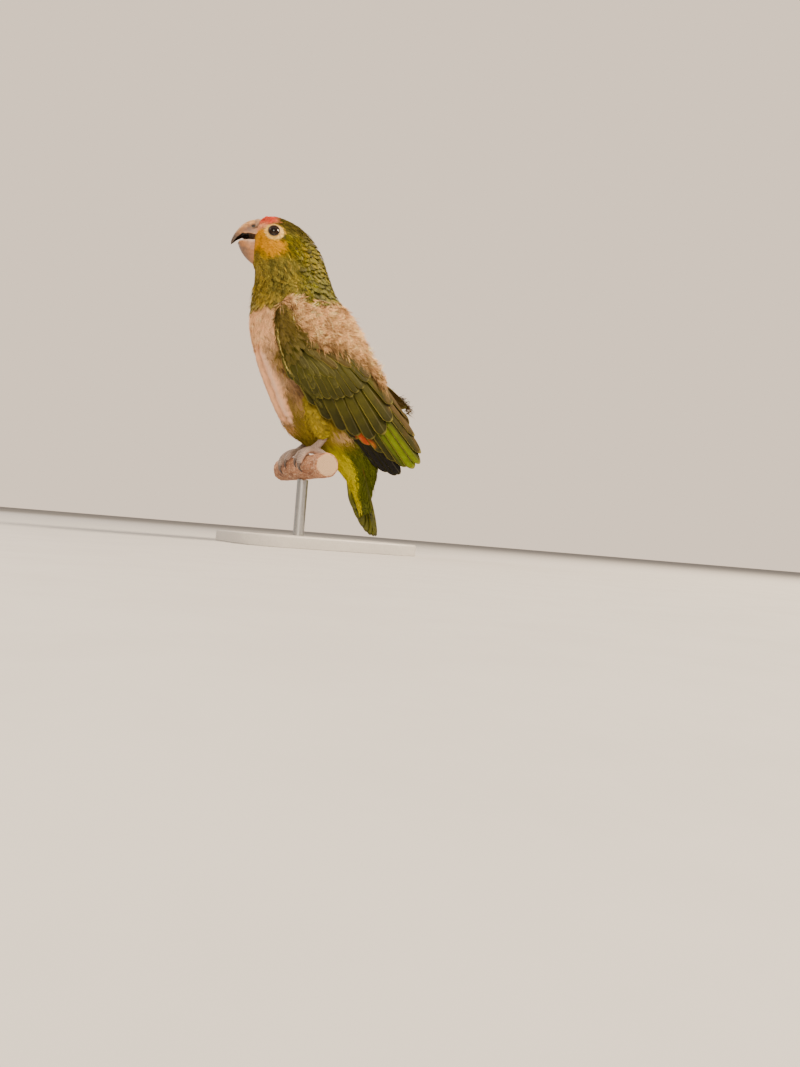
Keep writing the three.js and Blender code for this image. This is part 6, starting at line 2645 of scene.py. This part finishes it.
@dataclass
class Feet:
    """Both feet, two toes forward and two back round the perch, with their claws."""

    side_x: float = 18.0
    clear: float = PERCH_RADIUS + 0.35
    ankle: float = PERCH_RADIUS + 4.6
    knee: tuple[float, float] = (8.0, 102.0)
    leg: float = 4.1
    claw_base: float = 2.1
    claw_tip: float = 0.32
    claw_turn: float = 34.0

    @staticmethod
    def on_perch(x: Array, degrees: Array, far: Array) -> Array:
        """The point at a distance from the perch's axis, degrees forward (-) or back (+) from its top."""
        a = np.radians(degrees)
        return np.stack([x, PERCH_AXIS[0] + far * np.sin(a), PERCH_AXIS[1] + far * np.cos(a)], -1)

    @staticmethod
    def sleeve(path: Array, radius: Array, out: Array, sides: int, relief: Callable[[Array, Array], Array]) -> Array:
        """Rings round a path.

        Args:
            path: Its points.
            radius: The radius at each one.
            out: The direction of the toe's upper side at each one.
            sides: Points in a ring.
            relief: The share by which the radius changes at a share of the path and an angle from the upper side.

        Returns:
            The points as ring, side, xyz.
        """
        tangent = unit(np.gradient(path, axis=0))
        up = unit(out - (out * tangent).sum(-1, keepdims=True) * tangent)
        beside = np.cross(tangent, up)
        share, a = np.linspace(0, 1, len(path))[:, None], around(sides)[None]
        r = radius[:, None] * (1 + relief(share, a))
        return path[:, None] + (r * np.cos(a))[..., None] * up[:, None] + (r * np.sin(a))[..., None] * beside[:, None]

    @staticmethod
    def shade(share: Array, a: Array, groove: Array) -> Array:
        """Skin colours: grey-pink plates, darker grooves and a paler sole."""
        return painted(Hue.FOOT, np.broadcast(share, a).shape, (Hue.FOOT_GROOVE, groove),
                       (Hue.SOLE, smooth(-np.cos(a) + 0 * share, 0.3, 0.9)))

    def toe(self, toe: Toe, side: float) -> Mesh:
        """One scaled toe with a padded sole.

        Args:
            toe: The toe's numbers.
            side: 1 for the left, -1 for the right.

        Returns:
            The toe.
        """
        rows, sides = 64, 34
        u = np.linspace(0, 1, rows)
        radius = toe.base + (toe.end - toe.base) * u
        x = side * (self.side_x + toe.step * np.minimum(1, 1.6 * u))
        degrees = toe.aim * (4 + (toe.reach - 4) * u)
        path = self.on_perch(x, degrees, self.clear + 1.10 * radius)

        def groove(share: Array, power: int) -> Array:
            """1 between two plates, 0 on them."""
            return (0.5 + 0.5 * np.cos(2 * np.pi * share * toe.plates)) ** power

        def relief(share: Array, a: Array) -> Array:
            """Plates across the upper side, and pads under the joints.

            Args:
                share: The share of the toe's length.
                a: The angle from the toe's upper side.

            Returns:
                The share by which the radius changes.
            """
            deep, top = groove(share, 6), smooth(np.cos(a), -0.2, 0.4)
            pad = 0.05 * np.cos(2 * np.pi * share * 3.0) * (1 - top)
            plate = pad - 0.07 * deep * top - 0.05 * (1 - top) + 0.02 * np.sin(9 * a) * (1 - deep)
            return plate - 0.35 * smooth(share, 0.93, 1.0)

        out = unit(path - self.on_perch(x, degrees, np.zeros_like(u)))
        share, a = u[:, None], around(sides)[None]
        tint = self.shade(share, a, groove(share, 5) * smooth(np.cos(a), -0.2, 0.4))
        end = path[-1] + 0.6 * unit(path[-1] - path[-2])
        return tube(self.sleeve(path, radius, out, sides, relief), path[0], end, tint)

    def shank(self, side: float) -> Mesh:
        """The short scaled leg from the thigh's feathers to the perch.

        Args:
            side: 1 for the left, -1 for the right.

        Returns:
            The leg.
        """
        rows, sides = 50, 44
        u = np.linspace(0, 1, rows)
        top = np.array([side * self.side_x, *self.knee])
        foot = self.on_perch(np.array(side * self.side_x), np.array(2.0), np.array(self.ankle))
        path = top + (foot - top) * u[:, None]
        path[:, 1] += 0.8 * np.sin(np.pi * u)
        radius = self.leg * (1 - 0.22 * np.sin(np.pi * u))

        def relief(share: Array, a: Array) -> Array:
            """Small rounded scales in staggered rows."""
            row = share * 13
            return 0.035 * (np.cos(2 * np.pi * row) * 0.5 + np.cos(a * 9 + np.pi * np.floor(row)) * 0.5)

        rings = self.sleeve(path, radius, np.tile([0.0, -1.0, 0.2], (rows, 1)), sides, relief)
        share, a = u[:, None], around(sides)[None]
        groove = smooth(-relief(share, a), 0.0, 0.03)
        return tube(rings, path[0], path[-1] + [0, 0, -2.0], self.shade(share, np.zeros_like(a), 0.8 * groove))

    def claw(self, toe: Toe, side: float) -> Mesh:
        """A curved claw, pointed, with a ridge along its outer side.

        Args:
            toe: The toe's numbers.
            side: 1 for the left, -1 for the right.

        Returns:
            The claw.
        """
        u = np.linspace(0, 1, 30)
        radius = self.claw_base + (self.claw_tip - self.claw_base) * u**0.9
        x = np.full(len(u), side * (self.side_x + toe.step))
        degrees = toe.aim * (toe.reach - 2 + self.claw_turn * u)
        far = self.clear + 1.05 * toe.end + (0.9 - 1.05 * toe.end) * u + 0.9 * np.sin(np.pi * u)
        path = self.on_perch(x, degrees, far)

        def relief(share: Array, a: Array) -> Array:
            """Flatter sides and a flat underside."""
            return -0.12 * np.sin(a) ** 2 - 0.10 * smooth(-np.cos(a), 0.4, 1.0) + 0 * share

        out = unit(path - self.on_perch(x, degrees, np.zeros_like(u)))
        rings = self.sleeve(path, radius, out, 24, relief)
        tint = painted(Hue.CLAW, rings.shape[:2], (Hue.CLAW_TIP, smooth(u, 0.1, 0.7)[:, None]))
        return tube(rings, path[0], path[-1] + 0.4 * unit(path[-1] - path[-2]), tint)

    def dress(self) -> None:
        """Builds both feet and the eight claws."""
        for name, side in (("left", 1.0), ("right", -1.0)):
            foot = Mesh.joined([self.shank(side)] + [self.toe(toe, side) for toe in TOES])
            build(f"scaled_foot_{name}", foot, Finishes.FOOT, (f"foot_{name}",))
            for toe in TOES:
                short = f"claw_{name}_{toe.number}"
                build(f"horn_{short}", self.claw(toe, side), Finishes.CLAW, (short,))


# ---------------------------------------------------------------- perch and stand


@dataclass
class Perch:
    """A short cut length of branch."""

    length: float = 104.0

    @staticmethod
    def ring(x: Array, r: Array, a: Array) -> Array:
        """Points round the perch's axis at x, at a radius r and an angle a."""
        return np.stack([x + 0 * a, PERCH_AXIS[0] + r * np.cos(a), PERCH_AXIS[1] + r * np.sin(a)], -1)

    def dress(self) -> None:
        """Builds the bark's tube and the two sawn ends."""
        end = self.length / 2
        x, a = np.linspace(-end, end, 260)[:, None], around(150)[None]
        place = np.stack([0.35 * x + 0 * a, PERCH_RADIUS * np.cos(a) + 0 * x, PERCH_RADIUS * np.sin(a) + 0 * x], -1)
        relief = 0.30 * ripple(place, 9.0, 71) + 0.16 * ripple(place * [0.5, 1, 1], 2.6, 72)
        relief = relief + 0.07 * ripple(place, 1.1, 73)
        crack = bell(ripple(place * [0.3, 1, 1], 5.0, 74), 0, 0.07)
        r = PERCH_RADIUS - 0.45 + np.clip(relief, -0.5, 0.42) - 0.30 * crack
        r = r * (0.965 + 0.035 * smooth(end - np.abs(x), 0.0, 0.7))
        poles = (np.array([0.97 * way * end, *PERCH_AXIS]) for way in (-1.0, 1.0))
        build("branch", tube(self.ring(x, r, a), *poles), Finishes.BARK, ("perch",))
        parts = []
        for way, rim in ((-1.0, r[0]), (1.0, r[-1])):
            size = np.linspace(1, 0, 24)[:-1, None]
            face = way * (end - 0.25 + 0.25 * (1 - size**8))
            poles = (np.array([way * far, *PERCH_AXIS]) for far in (end - 1.0, end))
            parts.append(tube(self.ring(face, (rim[None] - 0.5) * size, a), *poles))
        build("sawn_ends", Mesh.joined(parts), Finishes.WOOD)


@dataclass
class Stand:
    """The plain display stand: a rounded plate and one rod."""

    front: float = -68.0
    back: float = 98.0
    width: float = 124.0
    thick: float = 10.0
    corner: float = 30.0
    bevel: float = 1.8
    inner: float = 14.0
    rod: float = 5.0
    rod_top: float = 60.9

    def outline(self, inset: float, count: int = 46) -> Array:
        """The plate's rounded outline, moved in by inset.

        Args:
            inset: How far it is moved in.
            count: Points round a corner.

        Returns:
            The points, as x and y.
        """
        parts = []
        half = self.width / 2
        for k, (sx, end) in enumerate(((1, self.back), (-1, self.back), (-1, self.front), (1, self.front))):
            sy = 1 if end == self.back else -1
            a = np.linspace(0, np.pi / 2, count) + k * np.pi / 2
            centre = np.array([sx * (half - self.corner), end - sy * self.corner])
            parts.append(centre + (self.corner - inset) * np.stack([np.cos(a), np.sin(a)], -1))
        return np.concatenate(parts)

    def edge(self) -> list[tuple[float, float]]:
        """Heights and insets round the plate's lower and upper edges.

        Returns:
            A height and an inset for each step of the edge.
        """
        turn = np.linspace(0, np.pi / 2, 7)
        low = [(0.5 - 0.5 * math.cos(t), 0.5 * (1 - math.sin(t))) for t in turn]
        high = [(self.thick - self.bevel * (1 - math.sin(t)), self.bevel * (1 - math.cos(t))) for t in turn]
        return [(0.0, self.inner), *low, *high, (self.thick, self.inner)]

    def plate(self) -> Mesh:
        """The plate with rounded edges.

        Returns:
            The plate.
        """
        rings = [self.outline(inset) for _, inset in self.edge()]
        steps = [np.concatenate([ring, np.full((len(ring), 1), z)], 1) for ring, (z, _) in zip(rings, self.edge())]
        middle = (self.front + self.back) / 2
        return tube(np.stack(steps), np.array([0, middle, 0.0]), np.array([0, middle, self.thick]))

    def post(self) -> Mesh:
        """The rod from the plate into the perch.

        Returns:
            The rod.
        """
        a, y = around(72), PERCH_AXIS[0]
        heights = (self.thick + 0.02, self.thick + 0.3, self.thick + 0.6, 12.0, 40.0, self.rod_top - 0.7, self.rod_top)
        rings = [np.stack([self.rod * np.cos(a), y + self.rod * np.sin(a), np.full_like(a, z)], -1) for z in heights]
        return tube(np.stack(rings), *(np.array([0, y, z]) for z in (heights[0], heights[-1])))

    def dress(self) -> None:
        """Builds the plate and the rod."""
        build("display_plate", self.plate(), Finishes.PLATE, ("stand_base",))
        build("steel_rod", self.post(), Finishes.STEEL, ("stand_rod",))


# ---------------------------------------------------------------- studio


@dataclass
class Studio:
    """The pale floor, the soft lights and the camera."""

    camera_at: tuple[float, float, float] = (630.485, -254.733, 16.0)
    right: tuple[float, float, float] = (0.4920095, 0.8667254, 0.08193736)
    up: tuple[float, float, float] = (-0.03583541, -0.07387499, 0.99662345)
    lens: float = 24.966
    floor_radius: float = 6000.0
    middle: tuple[float, float, float] = (0.0, 0.0, 0.15)

    def floor(self, count: int = 96) -> None:
        """A large round floor.

        Args:
            count: Points round its rim.
        """
        a = np.linspace(0, 2 * np.pi, count, endpoint=False)
        rim = np.stack([self.floor_radius * np.cos(a), self.floor_radius * np.sin(a), np.full(count, -0.1)], -1)
        points = np.concatenate([rim, [[0, 0, -0.1]]])
        data = bpy.data.meshes.new("floor")
        data.from_pydata((points * MM).tolist(), [], [(k, (k + 1) % count, count) for k in range(count)])
        data.materials.append(Finishes.FLOOR.material)
        placed("floor", data)

    def light(self, name: str, place: tuple[float, float, float], size: float, power: float, colour: Colour) -> None:
        """A square soft light that faces the bird.

        Args:
            name: Its name.
            place: Where it stands, in metres.
            size: Its width in metres.
            power: Its power in watts.
            colour: Its colour.
        """
        data = bpy.data.lights.new(name, "AREA")
        data.size, data.energy, data.color = size, power, colour
        look = unit(np.array(self.middle) - np.array(place))
        side = unit(np.cross(look, [0.0, 0.0, 1.0]))
        placed(name, data).matrix_world = self.matrix(side, np.cross(side, look), -look, np.array(place))

    @staticmethod
    def matrix(x: Array, y: Array, z: Array, at: Array) -> Matrix:
        """A placing matrix from its three axes and its place.

        Args:
            x: The first axis.
            y: The second axis.
            z: The third axis.
            at: The place.

        Returns:
            The matrix.
        """
        full = np.eye(4)
        full[:3, 0], full[:3, 1], full[:3, 2], full[:3, 3] = x, y, z, at
        return Matrix(full.tolist())

    @staticmethod
    def surroundings() -> None:
        """A warm pale world, dimmer as a light than it looks to the camera."""
        world = bpy.data.worlds.new("studio")
        world.use_nodes = True
        w = Wires(world.node_tree)
        either = w.node("ShaderNodeMixShader")
        lit, seen = w.node("ShaderNodeBackground"), w.node("ShaderNodeBackground")
        for node, colour, strength in ((lit, (0.95, 0.80, 0.66), 0.42), (seen, (1.0, 0.80, 0.62), 1.25)):
            node.inputs[0].default_value, node.inputs[1].default_value = rgba(colour), strength
        w.put(either.inputs[0], w.node("ShaderNodeLightPath").outputs["Is Camera Ray"])
        w.put(either.inputs[1], lit.outputs[0])
        w.put(either.inputs[2], seen.outputs[0])
        w.put(w.node("ShaderNodeOutputWorld").inputs[0], either.outputs[0])
        bpy.context.scene.world = world

    def dress(self) -> None:
        """Sets up the floor, the pale surroundings, the lights and the camera."""
        self.floor()
        self.surroundings()
        self.light("key", (0.45, 0.75, 1.15), 0.45, 42.0, (1.0, 0.80, 0.58))
        self.light("front", (1.15, -0.75, 0.75), 0.6, 22.0, (1.0, 0.84, 0.66))
        self.light("fill", (-0.9, -0.6, 0.8), 1.0, 9.0, (1.0, 0.90, 0.80))
        data = bpy.data.cameras.new("camera")
        data.lens, data.sensor_width, data.clip_start, data.clip_end = self.lens, 36.0, 0.02, 50.0
        made = placed("camera", data)
        x, y = np.array(self.right), np.array(self.up)
        made.matrix_world = self.matrix(x, y, np.cross(x, y), np.array(self.camera_at) * MM)
        bpy.context.scene.camera = made


def main() -> None:
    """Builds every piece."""
    logging.basicConfig(level=logging.INFO, format="%(name)s %(message)s")
    for part in (Skin(), Plumage(), DownCoat(), Wing(), Wing(right=True), Tail(), Bill(), Eyes(), Feet(), Perch(),
                 Stand(), Studio()):
        part.dress()


if __name__ == "__main__":
    main()
